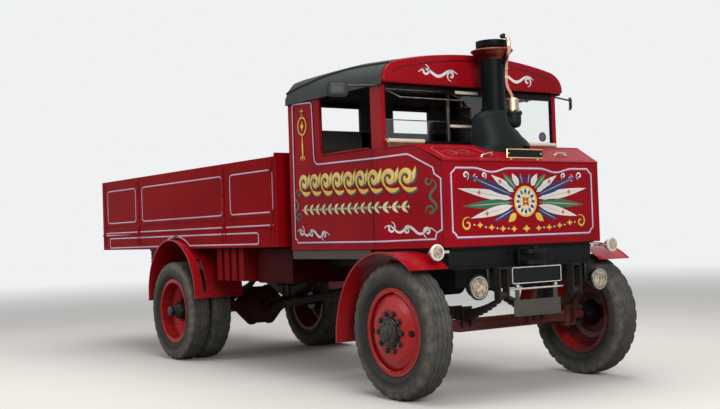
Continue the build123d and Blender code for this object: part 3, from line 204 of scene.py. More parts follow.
def noise(tree, spot, scale, detail, grit=0.5):
    """Soft patches or fine grain, from the scale."""
    inputs = {"Vector": spot, "Scale": scale, "Detail": detail, "Roughness": grit}
    return add_node(tree, "ShaderNodeTexNoise", inputs).outputs[0]


def parts_of(tree, vector):
    """The X, Y and Z of a place or a direction."""
    return add_node(tree, "ShaderNodeSeparateXYZ", {0: vector}).outputs


def effect_group(name, inputs):
    """A shader group with named inputs. Gives the tree, its input sockets and the place of the surface."""
    tree = bpy.data.node_groups.new(name, "ShaderNodeTree")
    for label, value in inputs.items():
        kind = "NodeSocketColor" if isinstance(value, tuple) else "NodeSocketFloat"
        tree.interface.new_socket(label, in_out="INPUT", socket_type=kind).default_value = value
    return tree, add_node(tree, "NodeGroupInput").outputs, surface(tree)


def close_group(tree, results):
    """Gives a group its named outputs, and gives it back."""
    for label in results:
        kind = "NodeSocketColor" if label == "Color" else "NodeSocketFloat"
        tree.interface.new_socket(label, in_out="OUTPUT", socket_type=kind)
    add_node(tree, "NodeGroupOutput", results)
    return tree


# Enamel brushed on by hand deepens in clouds, and road dust settles on it low down
dust_colour = (0.235, 0.195, 0.15, 1)
tree, given, spot = effect_group("weathered_paint", {
    "Paint": (0.5, 0.5, 0.5, 1), "Dust": dust_colour, "Dust Top": 1.2, "Dust Amount": 0.6, "Gloss": 0.25,
    "Grain Scale": 30.0})
speck = noise(tree, spot, 34.0, 6.0, 0.65)
deep = blend(tree, 0.22, given["Paint"], (0.004, 0.003, 0.003, 1))
toned = blend(tree, ramp(tree, noise(tree, spot, 2.3, 5.0), 0.38, 0.68), given["Paint"], deep)
low_down = calc(tree, "POWER", ramp(tree, parts_of(tree, spot)["Z"], given["Dust Top"], 0.0), 1.4)
dust_mask = calc(tree, "MULTIPLY", low_down, ramp(tree, speck, 0.3, 0.7, 0.25))
dust_share = calc(tree, "MULTIPLY", dust_mask, given["Dust Amount"], clamp=True)
rough_spots = calc(tree, "MULTIPLY_ADD", speck, 0.10, given["Gloss"])
weathered = close_group(tree, {
    "Color": blend(tree, dust_share, toned, given["Dust"]),
    "Roughness": calc(tree, "MULTIPLY_ADD", dust_share, 0.6, rough_spots, clamp=True),
    "Height": noise(tree, spot, given["Grain Scale"], 2.0)})


def feed(tree, shader, colour, roughness, height=None, depth=0.0):
    """Joins a finish's colour, roughness and relief to its shader."""
    tree.links.new(colour, shader.inputs["Base Color"])
    tree.links.new(roughness, shader.inputs["Roughness"])
    if height:
        bump = add_node(tree, "ShaderNodeBump", {"Height": height, "Distance": depth, "Strength": 1.0})
        tree.links.new(bump.outputs[0], shader.inputs["Normal"])


def feed_group(tree, shader, group, values, depth):
    """Feeds a shader from an effect group, with the group's own values or links."""
    effect = add_node(tree, "ShaderNodeGroup", values, node_tree=group).outputs
    feed(tree, shader, effect["Color"], effect["Roughness"], effect["Height"], depth)


def painted(name, paint, slot="body_paint", dust_top=1.2, dust_amount=0.6, gloss=0.25, grain_scale=30.0,
            grain_depth=0.00025, coat=0.0, coat_roughness=0.1, shine=0.2):
    """Brushed enamel over steel or wood, with settled road dust."""
    finish, tree, shader = new_finish(name, slot, coat_weight=coat, coat_roughness=coat_roughness,
                                      specular_ior_level=shine)
    feed_group(tree, shader, weathered, {
        "Paint": (*paint, 1), "Dust Top": dust_top, "Dust Amount": dust_amount, "Gloss": gloss,
        "Grain Scale": grain_scale}, grain_depth)
    return finish


def give(finish, *names):
    """Puts a finish on CAD nodes."""
    for name in names:
        for index in range(max(1, len(nodes[name].material_slots))):
            if not nodes[name].material_slots:
                nodes[name].data.materials.append(finish)
            nodes[name].material_slots[index].material = finish


def piece(name, shape, finish, body="root", sharp=35.0):
    """Turns a finished shape into a piece that rides on a body."""
    mesh = bpy.data.meshes.new(name)
    bmesh.ops.recalc_face_normals(shape, faces=shape.faces)
    shape.to_mesh(mesh)
    shape.free()
    mesh.shade_smooth()
    mesh.set_sharp_from_angle(angle=radians(sharp))
    made = in_scene(name, mesh)
    mesh.materials.append(finish)
    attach(made, body)
    return made


def new_shapes(count):
    """Some empty shapes."""
    return [bmesh.new() for _ in range(count)]


def side_axes(direction):
    """Two unit directions across a given one."""
    along = Vector(direction).normalized()
    first = along.cross(UP if abs(along.z) < 0.9 else AHEAD).normalized()
    return first, along.cross(first)


def turned(shape, profile, centre, direction, count=24, cap=True):
    """A turned form: profile of (distance along the axis, radius) from a centre."""
    along = Vector(direction).normalized()
    skin(shape, [round_points(Vector(centre) + along * run, *side_axes(direction), radius, count)
                 for run, radius in profile], cap=cap)


def bolt_heads(shape, spots, direction, across_flats, height):
    """Hexagon heads with chamfered corners, each on its washer."""
    reach = across_flats / sqrt(3)
    for centre in spots:
        for profile, count in (([(0, 1.35), (0.18, 1.35), (0.2, 1.2)], 16),
                               ([(0.15, 1), (0.85, 1), (1, 0.82)], 6)):
            turned(shape, [(height * run, reach * radius) for run, radius in profile], centre, direction,
                   count)


def rivets(shape, spots, direction, radius):
    """Round snap heads."""
    for centre in spots:
        turned(shape, [(0, radius), (radius * 0.35, radius * 0.86), (radius * 0.62, radius * 0.45)], centre,
               direction, 10)


def bar(shape, low, high, edge=0.002):
    """A bar between two corners, with its long edges eased."""
    low, high = Vector(low), Vector(high)
    made = bmesh.ops.create_cube(shape, size=1.0)["verts"]
    for vert in made:
        vert.co = Vector((low[axis] + (vert.co[axis] + 0.5) * (high[axis] - low[axis]) for axis in range(3)))
    edges = {e for vert in made for e in vert.link_edges}
    bmesh.ops.bevel(shape, geom=list(edges), offset=edge, segments=2, affect="EDGES", profile=0.6)


black_paint = painted("black_paint", (0.007, 0.008, 0.009), "black_paint", dust_top=1.0, dust_amount=0.35,
                      gloss=0.42, shine=0.12)
give(black_paint, "chassis_frame", "front_beam")
web_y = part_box("chassis_frame")[1].y
beam_face_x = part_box("front_beam")[0].x + 0.012
rivet_shape, jaw_shape = new_shapes(2)
for side, _ in sides:
    for station in (-1.88, -0.76, 0.76, 2.12, 3.35):
        rivets(rivet_shape, [(rear_axle_x + station + dx, side * web_y, z) for dx in (-0.02, 0.02)
                             for z in (0.99, 1.04, 1.09)], LEFT * side, 0.011)
rivets(rivet_shape, [(beam_face_x, y, z) for y in (-0.68, -0.52, -0.36, 0.36, 0.52, 0.68)
                     for z in (0.985, 1.095)], AHEAD, 0.012)
piece("frame_rivets", rivet_shape, black_paint)

jaw_face_x = rear_axle_x + 4.365
for y_low, y_high, z_low, z_high in ((-0.118, 0.118, 1.086, 1.100), (-0.118, 0.118, 0.958, 0.972),
                                     (-0.118, -0.1, 0.958, 1.1), (0.1, 0.118, 0.958, 1.1)):
    bar(jaw_shape, (jaw_face_x - 0.115, y_low, z_low), (jaw_face_x - 0.098, y_high, z_high))
bolt_heads(jaw_shape, [(beam_face_x, y, z) for y in (-0.15, 0.15) for z in (0.99, 1.07)], AHEAD, 0.024, 0.014)
turned(jaw_shape, [(0, 0.015), (0.004, 0.015), (0.004, 0.026), (0.018, 0.026), (0.02, 0.022)],
       (rear_axle_x + 4.32, 0, 1.086), UP)
piece("towing_jaw_fixings", jaw_shape, black_paint)


# Springs, axles and steering: forged and rolled steel. The leaves are oiled and grey, the axles dull red
# under their dust. Square clips and nuts hold the leaves to their seats.
front_axle_x = sum(corner.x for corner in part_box("front_tyre_right")) / 2
running_red = painted("running_gear_red", (0.085, 0.010, 0.008), dust_top=1.1, dust_amount=0.4, gloss=0.5,
                      shine=0.08)
oiled_steel = painted("oiled_steel", (0.018, 0.016, 0.015), "steel", dust_top=1.3, dust_amount=0.25,
                      gloss=0.38, grain_scale=90.0, grain_depth=0.0006, shine=0.08)
give(running_red, "front_axle", "knuckle_left", "knuckle_right", "rear_axle")
give(oiled_steel, "front_springs", "rear_springs", "track_rod", "propeller_shaft")

spring_y = 0.384
clip_shape = bmesh.new()
for axle_x, seat_z, pack in ((front_axle_x, 0.555, 0.095), (rear_axle_x, 0.588, 0.115)):
    for side, _ in sides:
        for dx in (-0.062, 0.062):
            for dy in (-0.042, 0.042):
                clip_spot = Vector((axle_x + dx, side * spring_y + dy, seat_z))
                turned(clip_shape, [(0, 0.009), (0.05, 0.009), (0.052, 0.006)], clip_spot - UP * 0.055,
                       UP, 10)
                bolt_heads(clip_shape, [clip_spot - UP * 0.012], -UP, 0.026, 0.02)
            bar(clip_shape, (axle_x + dx - 0.01, side * spring_y - 0.05, seat_z + pack - 0.004),
                (axle_x + dx + 0.01, side * spring_y + 0.05, seat_z + pack + 0.008))
piece("spring_clips", clip_shape, oiled_steel)

king_pin_y = 0.76
for side, side_name in sides:
    cap_shape = bmesh.new()
    for z, way in ((0.593, 1), (0.423, -1)):
        turned(cap_shape, [(0, 0.036), (0.006, 0.036), (0.01, 0.02), (0.016, 0.02), (0.018, 0.016)],
               (front_axle_x, side * king_pin_y, z), UP * way, 20)
        bolt_heads(cap_shape, [(front_axle_x + dx, side * king_pin_y, z + way * 0.006)
                               for dx in (-0.027, 0.027)], UP * way, 0.01, 0.008)
    piece("king_pin_caps_" + side_name, cap_shape, oiled_steel, "knuckle_" + side_name)


# Wheels: pressed steel discs on rolled rims, enamelled bright red, dusty towards the rim, painted shade
# inside.
# Each hub and its cap are black, and so are the nuts in front. The rear nuts and the lock rings are red.
axle_z = 0.508
tree, given, spot = effect_group("radial_dust_and_shade", {
    "Paint": (0.4, 0.02, 0.02, 1), "Hub Paint": (0.01, 0.01, 0.01, 1), "Axle X": 0.0, "Axle Z": 0.5,
    "Hub Radius": 0.12, "Dust Amount": 0.5})
parts, looks = parts_of(tree, spot), parts_of(tree, surface(tree, "Normal"))
from_axle = [calc(tree, "SUBTRACT", parts[axis], given["Axle " + axis]) for axis in "XZ"]
flat_spot = add_node(tree, "ShaderNodeCombineXYZ", {0: from_axle[0], 1: from_axle[1]}).outputs[0]
away = add_node(tree, "ShaderNodeVectorMath", {0: flat_spot}, operation="LENGTH").outputs["Value"]
coloured = blend(tree, calc(tree, "LESS_THAN", away, given["Hub Radius"]), given["Paint"], given["Hub Paint"])
patchy = ramp(tree, noise(tree, spot, 22.0, 7.0, 0.68), 0.36, 0.66)
dust_mask = calc(tree, "MULTIPLY", ramp(tree, away, 0.08, 0.36, 0.12, 1.0), patchy)
dust_share = calc(tree, "MULTIPLY", dust_mask, given["Dust Amount"], clamp=True)
# Painted shade: faces that turn in under the lorry are darkened towards near-black red
inward_shade = ramp(tree, calc(tree, "MULTIPLY", looks["Y"], parts["Y"]), 0.1, -0.4, 0.0, 0.85)
inward_shaded = blend(tree, inward_shade, coloured, (0.014, 0.004, 0.004, 1))
radial_dust_and_shade = close_group(tree, {
    "Color": blend(tree, dust_share, inward_shaded, dust_colour),
    "Roughness": calc(tree, "MULTIPLY_ADD", dust_share, 0.5, 0.28, clamp=True),
    "Height": noise(tree, spot, 190.0, 2.0), "Radius": away})


def wheel_enamel(name, axle_x, hub_radius):
    """Red enamel on a wheel turning about an axle, with the hub black inside a radius."""
    finish, tree, shader = new_finish(name, "red_running_gear", coat_weight=0.12, coat_roughness=0.12,
                                      specular_ior_level=0.18)
    feed_group(tree, shader, radial_dust_and_shade, {
        "Paint": (0.42, 0.003, 0.007, 1), "Axle X": axle_x, "Axle Z": axle_z, "Hub Radius": hub_radius,
        "Dust Amount": 0.16}, 0.0001)
    return finish


front_enamel = wheel_enamel("front_wheel_red", front_axle_x, 0.118)
rear_enamel = wheel_enamel("rear_wheel_red", rear_axle_x, 0.122)
hub_black = painted("hub_black", (0.006, 0.007, 0.007), "red_running_gear", dust_amount=0.2, gloss=0.35,
                    shine=0.3)
give(front_enamel, "front_wheel_left", "front_wheel_right")
give(rear_enamel, "rear_wheels_left", "rear_wheels_right")


def circle_spots(axle_x, y, radius, count, turn=0.5):
    """Points evenly round an axle."""
    return [(axle_x + radius * sin(2 * pi * (k + turn) / count), y,
             axle_z + radius * cos(2 * pi * (k + turn) / count))
            for k in range(count)]


def tube(shape, points, radius, count=12):
    """A round bar or pipe along a run of points, with its ends closed."""
    points = [Vector(point) for point in points]
    rings = []
    first, _ = side_axes(points[1] - points[0])
    for index, point in enumerate(points):
        along = (points[min(index + 1, len(points) - 1)] - points[max(index - 1, 0)]).normalized()
        first = (first - along * first.dot(along)).normalized()
        rings.append(round_points(point, first, along.cross(first), radius, count))
    skin(shape, rings)


def lock_ring(shape, axle_x, y, starts):
    """The split ring that holds a tyre on, as two runs of a little under half a turn."""
    for start in starts:
        tube(shape, circle_spots(axle_x, y, 0.299, 60, start)[:29], 0.0085, 10)


for side, side_name in sides:
    out = LEFT * side
    hub_shape, nut_shape, ring_shape, cap_shape, rear_shape = new_shapes(5)
    front_wheel, rear_wheel = "front_wheel_" + side_name, "rear_wheels_" + side_name
    turned(hub_shape, [(0, 0.096), (0.004, 0.098), (0.012, 0.092), (0.016, 0.062), (0.03, 0.056),
                       (0.038, 0.044), (0.04, 0.02)], (front_axle_x, side * 1.1005, axle_z), out, 32)
    bolt_heads(hub_shape, circle_spots(front_axle_x, side * 1.111, 0.078, 8), out, 0.016, 0.009)
    piece("front_hub_cap_" + side_name, hub_shape, hub_black, front_wheel)
    bolt_heads(nut_shape, circle_spots(front_axle_x, side * 1.079, 0.142, 10), out, 0.032, 0.024)
    piece("front_nuts_" + side_name, nut_shape, hub_black, front_wheel)
    lock_ring(ring_shape, front_axle_x, side * 1.052, (1.2, 31.2))
    piece("front_lock_ring_" + side_name, ring_shape, front_enamel, front_wheel)
    turned(cap_shape, [(0, 0.05), (0.006, 0.05), (0.012, 0.044), (0.018, 0.03), (0.022, 0.012)],
           (rear_axle_x, side * 1.0586, axle_z), out, 28)
    bolt_heads(cap_shape, circle_spots(rear_axle_x, side * 0.9, 0.103, 8), out, 0.018, 0.014)
    piece("rear_hub_cap_" + side_name, cap_shape, hub_black, rear_wheel)
    bolt_heads(rear_shape, circle_spots(rear_axle_x, side * 0.8625, 0.176, 10), out, 0.036, 0.03)
    lock_ring(rear_shape, rear_axle_x, side * 1.022, (6, 36))
    piece("rear_nuts_and_lock_ring_" + side_name, rear_shape, rear_enamel, rear_wheel)


# Tyres: heavy moulded rubber with four worn zigzag grooves round the tread and slots in the shoulders.
# The sidewalls carry plain raised rings, dark low down and pale with dried dust at the shoulder.
tread_grooves = [-0.06, -0.021, 0.021, 0.06]
groove_width, groove_depth, zigzag = 0.008, 0.006, 0.004
tyre_steps = 120
tyre_wall = [(0.1, 0.472), (0.1065, 0.452), (0.1065, 0.445), (0.1095, 0.441), (0.1095, 0.43), (0.1075, 0.426),
             (0.1085, 0.405), (0.107, 0.385), (0.109, 0.379), (0.108, 0.368), (0.099, 0.36), (0.08, 0.3385),
             (0.0705, 0.333), (0.07, 0.3053)]


def tyre_profile(step):
    """The closed section of the tyre at one step round it, as (distance across, radius)."""
    slotted = step % 4 == 0
    tread = [(-0.094, 0.488), (-0.08, 0.504)]
    for groove in tread_grooves:
        middle = groove + zigzag * (1 if step % 4 in (0, 1) else -1)
        for offset, down in ((-groove_width / 2, 0), (-groove_width / 2 + 0.002, groove_depth),
                             (groove_width / 2 - 0.002, groove_depth), (groove_width / 2, 0)):
            across = middle + offset
            tread.append((across, 0.508 - 0.004 * max(abs(across) - 0.046, 0) / 0.034 - down))
    tread += [(0.08, 0.504), (0.094, 0.488)]
    if slotted:
        tread = [(w, r - 0.012 if abs(w) > 0.079 else r) for w, r in tread]
    wall = [(0.094, 0.462)] + tyre_wall[1:] if slotted else tyre_wall
    return [(-w, r) for w, r in reversed(wall)] + tread + wall


def dusty_rubber(name, axle_x):
    """Dark tyre walls that pale to dried dust at the shoulder, with a worn and patchy tread."""
    finish, tree, shader = new_finish(name, "tyre_rubber", specular_ior_level=0.25)
    effect = add_node(tree, "ShaderNodeGroup", {"Axle X": axle_x, "Axle Z": axle_z}, node_tree=radial_dust_and_shade)
    radius = effect.outputs["Radius"]
    spot = surface(tree)
    grain = noise(tree, spot, 120.0, 4.0)
    patch = ramp(tree, noise(tree, spot, 11.0, 8.0, 0.72), 0.36, 0.64, 0.30, 1.0)
    rise, fall = ramp(tree, radius, 0.385, 0.465, 0.10), ramp(tree, radius, 0.484, 0.502, 1.0, 0.55)
    shoulder = calc(tree, "MULTIPLY", rise, fall)
    tone = blend(tree, calc(tree, "MULTIPLY", shoulder, patch), (0.020, 0.022, 0.021, 1),
                 (0.155, 0.142, 0.118, 1))
    feed(tree, shader, tone, calc(tree, "MULTIPLY_ADD", grain, 0.15, 0.78), grain, 0.0012)
    return finish


front_rubber = dusty_rubber("front_tyre_rubber", front_axle_x)
rear_rubber = dusty_rubber("rear_tyre_rubber", rear_axle_x)


def tyre(shape, axle_x, middle_y):
    """One tyre, swept round its axle."""
    turns = [2 * pi * step / tyre_steps for step in range(tyre_steps)]
    skin(shape,
         [[(axle_x + r * sin(turn), middle_y + w, axle_z + r * cos(turn)) for w, r in tyre_profile(step)]
          for step, turn in enumerate(turns)], cap=False, around=True)


for side, side_name in sides:
    front_shape, rear_shape = new_shapes(2)
    tyre(front_shape, front_axle_x, side * 0.975)
    made = piece("front_tyre_tread_" + side_name, front_shape, front_rubber, "front_wheel_" + side_name, 28.0)
    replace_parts(made, "front_tyre_" + side_name)
    for middle_y in (0.945, 0.7):
        tyre(rear_shape, rear_axle_x, side * middle_y)
    made = piece("rear_tyre_treads_" + side_name, rear_shape, rear_rubber, "rear_wheels_" + side_name, 28.0)
    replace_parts(made, "rear_tyres_" + side_name)


# Boiler, engine, tank and locker: black lagging plate and castings, and red sheet for the tank and locker.
# The locker's sides are slatted, with black strips of painted shade in the gaps between its red uprights.
body_red = painted("coach_red", (0.30, 0.004, 0.010), dust_top=1.15, dust_amount=0.1, gloss=0.2, coat=0.06,
                   coat_roughness=0.08, shine=0.03)
side_red = painted("side_red", (0.28, 0.003, 0.006), dust_top=1.3, dust_amount=0.04, gloss=0.26, coat=0.03,
                   coat_roughness=0.12, shine=0.01)
# Coach red darkened with painted shade, for the water tank that sits under the load body
shaded_tank_red = painted("shaded_tank_red", (0.055, 0.001, 0.001), "red_running_gear", dust_top=1.3, dust_amount=0.12,
                  gloss=0.4, shine=0.03)
locker_red = painted("locker_red", (0.24, 0.003, 0.007), dust_top=1.3, dust_amount=0.12, gloss=0.4,
                     shine=0.03)
give(black_paint, "boiler", "engine")
give(shaded_tank_red, "water_tank")
give(locker_red, "ribbed_locker")
locker_low, locker_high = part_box("ribbed_locker")
tank_low, tank_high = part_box("water_tank")
gap_shade_shape, tank_shape = new_shapes(2)
slat_pitch = 0.15
# Black strips at the back of each gap: painted shade
for index in range(5):
    gap_x = locker_low.x + slat_pitch * index
    half = 0.0265 if 0 < index < 4 else 0.012
    bar(gap_shade_shape, (max(gap_x - half, locker_low.x + 0.001), locker_low.y + 0.023, locker_low.z + 0.004),
        (min(gap_x + half, locker_high.x - 0.001), locker_low.y + 0.03, locker_high.z - 0.004), 0.001)
piece("locker_gap_shade", gap_shade_shape, black_paint)
for side, _ in sides:
    for x in (tank_low.x + 0.02, tank_high.x - 0.02):
        rivets(tank_shape, [(x, side * tank_high.y, tank_low.z + 0.05 + 0.035 * k) for k in range(8)],
               LEFT * side, 0.006)
piece("tank_rivets", tank_shape, shaded_tank_red)


# Load body: boards on cross bearers, a deep side rail and three folding sides, all coach painted.
# White lines with a lilac shadow are painted round each panel. The hinge straps are painted iron.
line_white = painted("line_white", (0.72, 0.58, 0.66), dust_top=0.9, dust_amount=0.3, gloss=0.3)
line_lilac = painted("line_lilac", (0.20, 0.075, 0.24), dust_top=0.9, dust_amount=0.3, gloss=0.3)
give(side_red, "bed", "dropside_left", "dropside_right", "tailboard", "headboard")
board_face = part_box("headboard")[1].y + 0.002
tail_x = rear_axle_x - 1.98


def rounded(start, corner, end, steps):
    """Points on the curve that rounds a corner between two points."""
    return [start.lerp(corner, t).lerp(corner.lerp(end, t), t)
            for t in [step / steps for step in range(steps + 1)]]


def outline(corners, steps=6):
    """A closed run of (across, up) from corners with a radius each: rounded if above 0, scooped if below."""
    run = []
    for index, (u, v, radius) in enumerate(corners):
        corner = Vector((u, v))
        back = (Vector(corners[index - 1][:2]) - corner).normalized()
        onward = (Vector(corners[(index + 1) % len(corners)][:2]) - corner).normalized()
        if radius == 0:
            run.append(corner)
        elif radius > 0:
            run += rounded(corner + back * radius, corner, corner + onward * radius, steps)
        else:
            run += [corner + (back * cos(k / steps * pi / 2) + onward * sin(k / steps * pi / 2)) * -radius
                    for k in range(steps + 1)]
    return run


def rectangle(left, right, low, high, radius):
    """A rectangle with rounded corners."""
    return outline([(left, low, radius), (right, low, radius), (right, high, radius), (left, high, radius)])


def paint_stroke(shape, run, widths, place, closed=False, lift=0.0004, thick=0.0005):
    """A flat stroke of paint along a run of (across, up), of one width or one width a point."""
    run = [Vector(point) for point in run]
    count = len(run)
    if not hasattr(widths, "__len__"):
        widths = [widths] * count
    rings = []
    for index, point in enumerate(run):
        before = run[index - 1] if closed or index else run[0]
        after = run[(index + 1) % count] if closed or index < count - 1 else run[-1]
        inward, outward = point - before, after - point
        first = inward.normalized() if inward.length > 1e-9 else outward.normalized()
        second = outward.normalized() if outward.length > 1e-9 else first
        along = first + second
        along = along.normalized() if along.length > 1e-6 else first
        across = Vector((-along.y, along.x))
        spread = widths[index] / 2 / max(abs(across.dot(Vector((-first.y, first.x)))), 0.45)
        ends = (point - across * spread, point + across * spread)
        rings.append([place(*ends[0], lift), place(*ends[1], lift), place(*ends[1], lift + thick),
                      place(*ends[0], lift + thick)])
    if closed:
        rings.append(rings[0])
    skin(shape, rings, cap=not closed)


def double_line(white, lilac, run, place, closed=True, shadow=(0.006, -0.006), width=0.009):
    """A white line with its lilac shadow beside it."""
    paint_stroke(white, run, width, place, closed, lift=0.0008)
    paint_stroke(lilac, [Vector(point) + Vector(shadow) for point in run], width, place, closed, lift=0.0003)


def upright_place(x):
    """Where a distance across and a height lie on an upright face that looks forward."""
    return lambda u, v, lift: Vector((x + lift, u, v))


def board_place(side):
    """Where a station along the lorry and a height lie on the outside of the load body's boards."""
    return lambda u, v, lift: Vector((rear_axle_x + u, side * (board_face + lift), v))


def tail_place(u, v, lift):
    """Where a distance across and a height lie on the back of the tailboard."""
    return Vector((tail_x - lift, u, v))


panel_low_z, panel_high_z, panel_corner = 1.468, 1.845, 0.05
strap_heights = (1.38, 1.52, 1.66, 1.80, 1.9)


def dress_board(name, side_name, place, out, panels, boards, straps, low_line):
    """Lining round a side's panels and low on its boards, with its beads and strap bolts."""
    bead_shape, white_shape, lilac_shape = new_shapes(3)
    for start, end in panels:
        panel = rectangle(start, end, panel_low_z, panel_high_z, panel_corner)
        double_line(white_shape, lilac_shape, panel, place)
    for start, end in boards:
        if low_line:
            double_line(white_shape, lilac_shape, [(start + 0.02, 1.352), (end - 0.02, 1.352)], place,
                        closed=False)
        bar(bead_shape, place(start + 0.004, 1.424, 0.0), place(end - 0.004, 1.430, 0.004), 0.0012)
    for station in straps:
        bolt_heads(bead_shape, [place(station, z, 0.006) for z in strap_heights], out, 0.018, 0.008)
    for label, shape, finish in (("_beads", bead_shape, side_red), ("_line", white_shape, line_white),
                                 ("_shadow_line", lilac_shape, line_lilac)):
        piece(name + label + side_name, shape, finish, name + side_name)


arch_x, arch_z, arch_radius, rail_foot_z = 0.038, 0.688, 0.598, 1.185
arch_turn = acos((rail_foot_z - arch_z) / arch_radius)
arch = [(arch_x + arch_radius * sin(arch_turn * (1 - k / 8)),
         arch_z + arch_radius * cos(arch_turn * (1 - k / 8)))
        for k in range(17)]
rail_run = outline([(1.80, rail_foot_z, 0.035), (1.80, 1.288, 0.035), (-1.77, 1.288, 0.03),
                    (-1.77, 1.178, 0.03)])
for side, side_name in sides:
    white_shape, lilac_shape = new_shapes(2)
    place = board_place(side)
    dress_board("dropside", "_" + side_name, place, LEFT * side,
                ((-1.815, -0.985), (-0.805, 1.105), (1.275, 2.075)),
                ((-1.98, -0.936), (-0.892, 1.111), (1.155, 2.1)), (-0.914, 1.133), True)
    double_line(white_shape, lilac_shape, rail_run + arch[::-1], place, width=0.010)
    piece("rail_line_" + side_name, white_shape, line_white)
    piece("rail_shadow_line_" + side_name, lilac_shape, line_lilac)
dress_board("tailboard", "", tail_place, -AHEAD, ((-0.9, -0.6), (-0.48, 0.48), (0.6, 0.9)),
            ((-0.954, 0.954),), (-0.54, 0.54), False)


# Mudguards: rolled steel sheet with a wired edge. The front pair run from a short lip to a leg behind the
# wheel, and the rear pair close down in front of the twin tyres.
guard_red = painted("mudguard_red", (0.36, 0.004, 0.010), dust_top=1.1, dust_amount=0.2, gloss=0.2, coat=0.2,
                    shine=0.15)
give(guard_red, "front_mudguards", "rear_mudguards")


# Cab: a coachbuilt box of panelled ash, red outside and near-black inside as painted shade, with boards for
# its floor and bench.
# Its sides carry lining, a medallion, gold scrolls with a blue shade, and a chain of leaves.
tree, given, spot = effect_group("boards", {
    "Wood": (0.2, 0.13, 0.08, 1), "Gap": (0.02, 0.015, 0.01, 1), "Pitch": 0.12})
cell = calc(tree, "DIVIDE", parts_of(tree, spot)["Y"], given["Pitch"])
from_middle = calc(tree, "ABSOLUTE", calc(tree, "SUBTRACT", calc(tree, "FRACT", cell), 0.5))
gap_mask = ramp(tree, from_middle, 0.47, 0.49)
stretched = add_node(tree, "ShaderNodeMapping", {"Vector": spot, "Scale": (3.0, 60.0, 60.0)}).outputs[0]
fibre = noise(tree, stretched, 1.0, 6.0)
board_tone = add_node(tree, "ShaderNodeTexWhiteNoise", {"W": calc(tree, "FLOOR", cell)},
                      noise_dimensions="1D")
dark_wood = blend(tree, 0.45, given["Wood"], (0.02, 0.012, 0.008, 1))
grained = blend(tree, calc(tree, "MULTIPLY", fibre, board_tone.outputs[0]), given["Wood"], dark_wood)
boards = close_group(tree, {
    "Color": blend(tree, gap_mask, grained, given["Gap"]),
    "Roughness": calc(tree, "MULTIPLY_ADD", fibre, 0.3, 0.55),
    "Height": calc(tree, "MULTIPLY_ADD", gap_mask, -4.0, fibre)})


def boarded_finish(name, wood, pitch):
    """Sawn or painted boards, laid side by side across the lorry."""
    finish, tree, shader = new_finish(name, "planks")
    feed_group(tree, shader, boards, {"Wood": (*wood, 1), "Pitch": pitch}, 0.0012)
    return finish


def red_with_shaded_inside(name, facing, joined):
    """Coach red on the faces that look out of the cab, and near-black brown inside it as painted shade."""
    finish, tree, shader = new_finish(name, specular_ior_level=0.1)
    normal, spot = parts_of(tree, surface(tree, "Normal")), parts_of(tree, surface(tree))
    turned_out = calc(tree, "MULTIPLY", normal["X"], facing)
    outside = calc(tree, "MULTIPLY", normal["Y"], spot["Y"])
    faces = calc(tree, "GREATER_THAN", calc(tree, "MAXIMUM", turned_out, outside), 0.5)
    corner = calc(tree, "GREATER_THAN", calc(tree, "ABSOLUTE", spot["Y"]), 0.893)
    # The near-black brown is painted shade for the faces inside the cab
    tone = blend(tree, calc(tree, joined, faces, corner), (0.012, 0.006, 0.005, 1), (0.30, 0.004, 0.010, 1))
    feed_group(tree, shader, weathered, {"Paint": tone}, 0.00025)
    return finish


# Near-black boards: painted shade inside the cab, on its linings, its bench and the underside of its roof
cab_inside_shade = boarded_finish("cab_inside_boards", (0.045, 0.04, 0.036), 0.11)
give(boarded_finish("cab_floor_boards", (0.05, 0.036, 0.026), 0.14), "cab_floor")
give(cab_inside_shade, "bench")
give(body_red, "cab_side_left", "cab_side_right", "cab_door_left", "housing_sides")
give(red_with_shaded_inside("cab_back_red", -1.0, "MAXIMUM"), "cab_back")
give(black_paint, "steering_column")

cab_front_x, cab_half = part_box("cab_side_left")[1][:2]
panel_x, panel_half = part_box("front_panel")[1][:2]
taper_start = 3.6
taper = (cab_half - panel_half) / (panel_x - rear_axle_x - taper_start)


def cab_place(side):
    """Where a station and a height lie on the outside of the cab side and of the tapering housing side."""
    return lambda u, v, lift: Vector((rear_axle_x + u,
                                      side * (cab_half - max(u - taper_start, 0) * taper + lift), v))


def spiral(centre, size, turns, start=0.0, flip=1, steps=26):
    """A scroll: a curl that opens outward from its eye."""
    run = []
    for k in range(steps + 1):
        radius, angle = size * (0.12 + 0.88 * k / steps), start + turns * 2 * pi * k / steps
        run.append((centre[0] + flip * radius * cos(angle), centre[1] + radius * sin(angle)))
    return run


def ring_run(centre, wide, tall, count):
    """Points round an oval."""
    turns = [2 * pi * k / count for k in range(count)]
    return [(centre[0] + wide * cos(turn), centre[1] + tall * sin(turn)) for turn in turns]


def brush(shape, run, place, thin, thick, lift=0.0006):
    """One brush stroke that swells to its middle and has pointed ends."""
    widths = [thin + (thick - thin) * sin(pi * k / (len(run) - 1)) for k in range(len(run))]
    paint_stroke(shape, run, widths, place, lift=lift)


def filled(shape, run, place, lift=0.0006, thick=0.0005):
    """A flat painted patch inside an outline."""
    skin(shape, [[place(u, v, lift) for u, v in run], [place(u, v, lift + thick) for u, v in run]])


def bow(start, end, bulge, steps=12):
    """Points on a shallow curve between two ends, bulging to its left."""
    start, end = Vector(start), Vector(end)
    across = Vector((-(end - start).y, (end - start).x))
    return [start.lerp(end, k / steps) + across * bulge * sin(pi * k / steps) for k in range(steps + 1)]


def leaf(shape, base, tip, width, place, lift=0.0006):
    """A painted leaf from its base to its tip."""
    base, tip = Vector(base), Vector(tip)
    across = Vector((-(tip - base).y, (tip - base).x)).normalized() * width / 2
    edge = [base.lerp(tip, k / 8) + across * sin(pi * (k / 8) ** 0.75) for k in range(9)]
    back = [base.lerp(tip, k / 8) - across * sin(pi * (k / 8) ** 0.75) for k in range(7, 0, -1)]
    filled(shape, edge + back, place, lift)


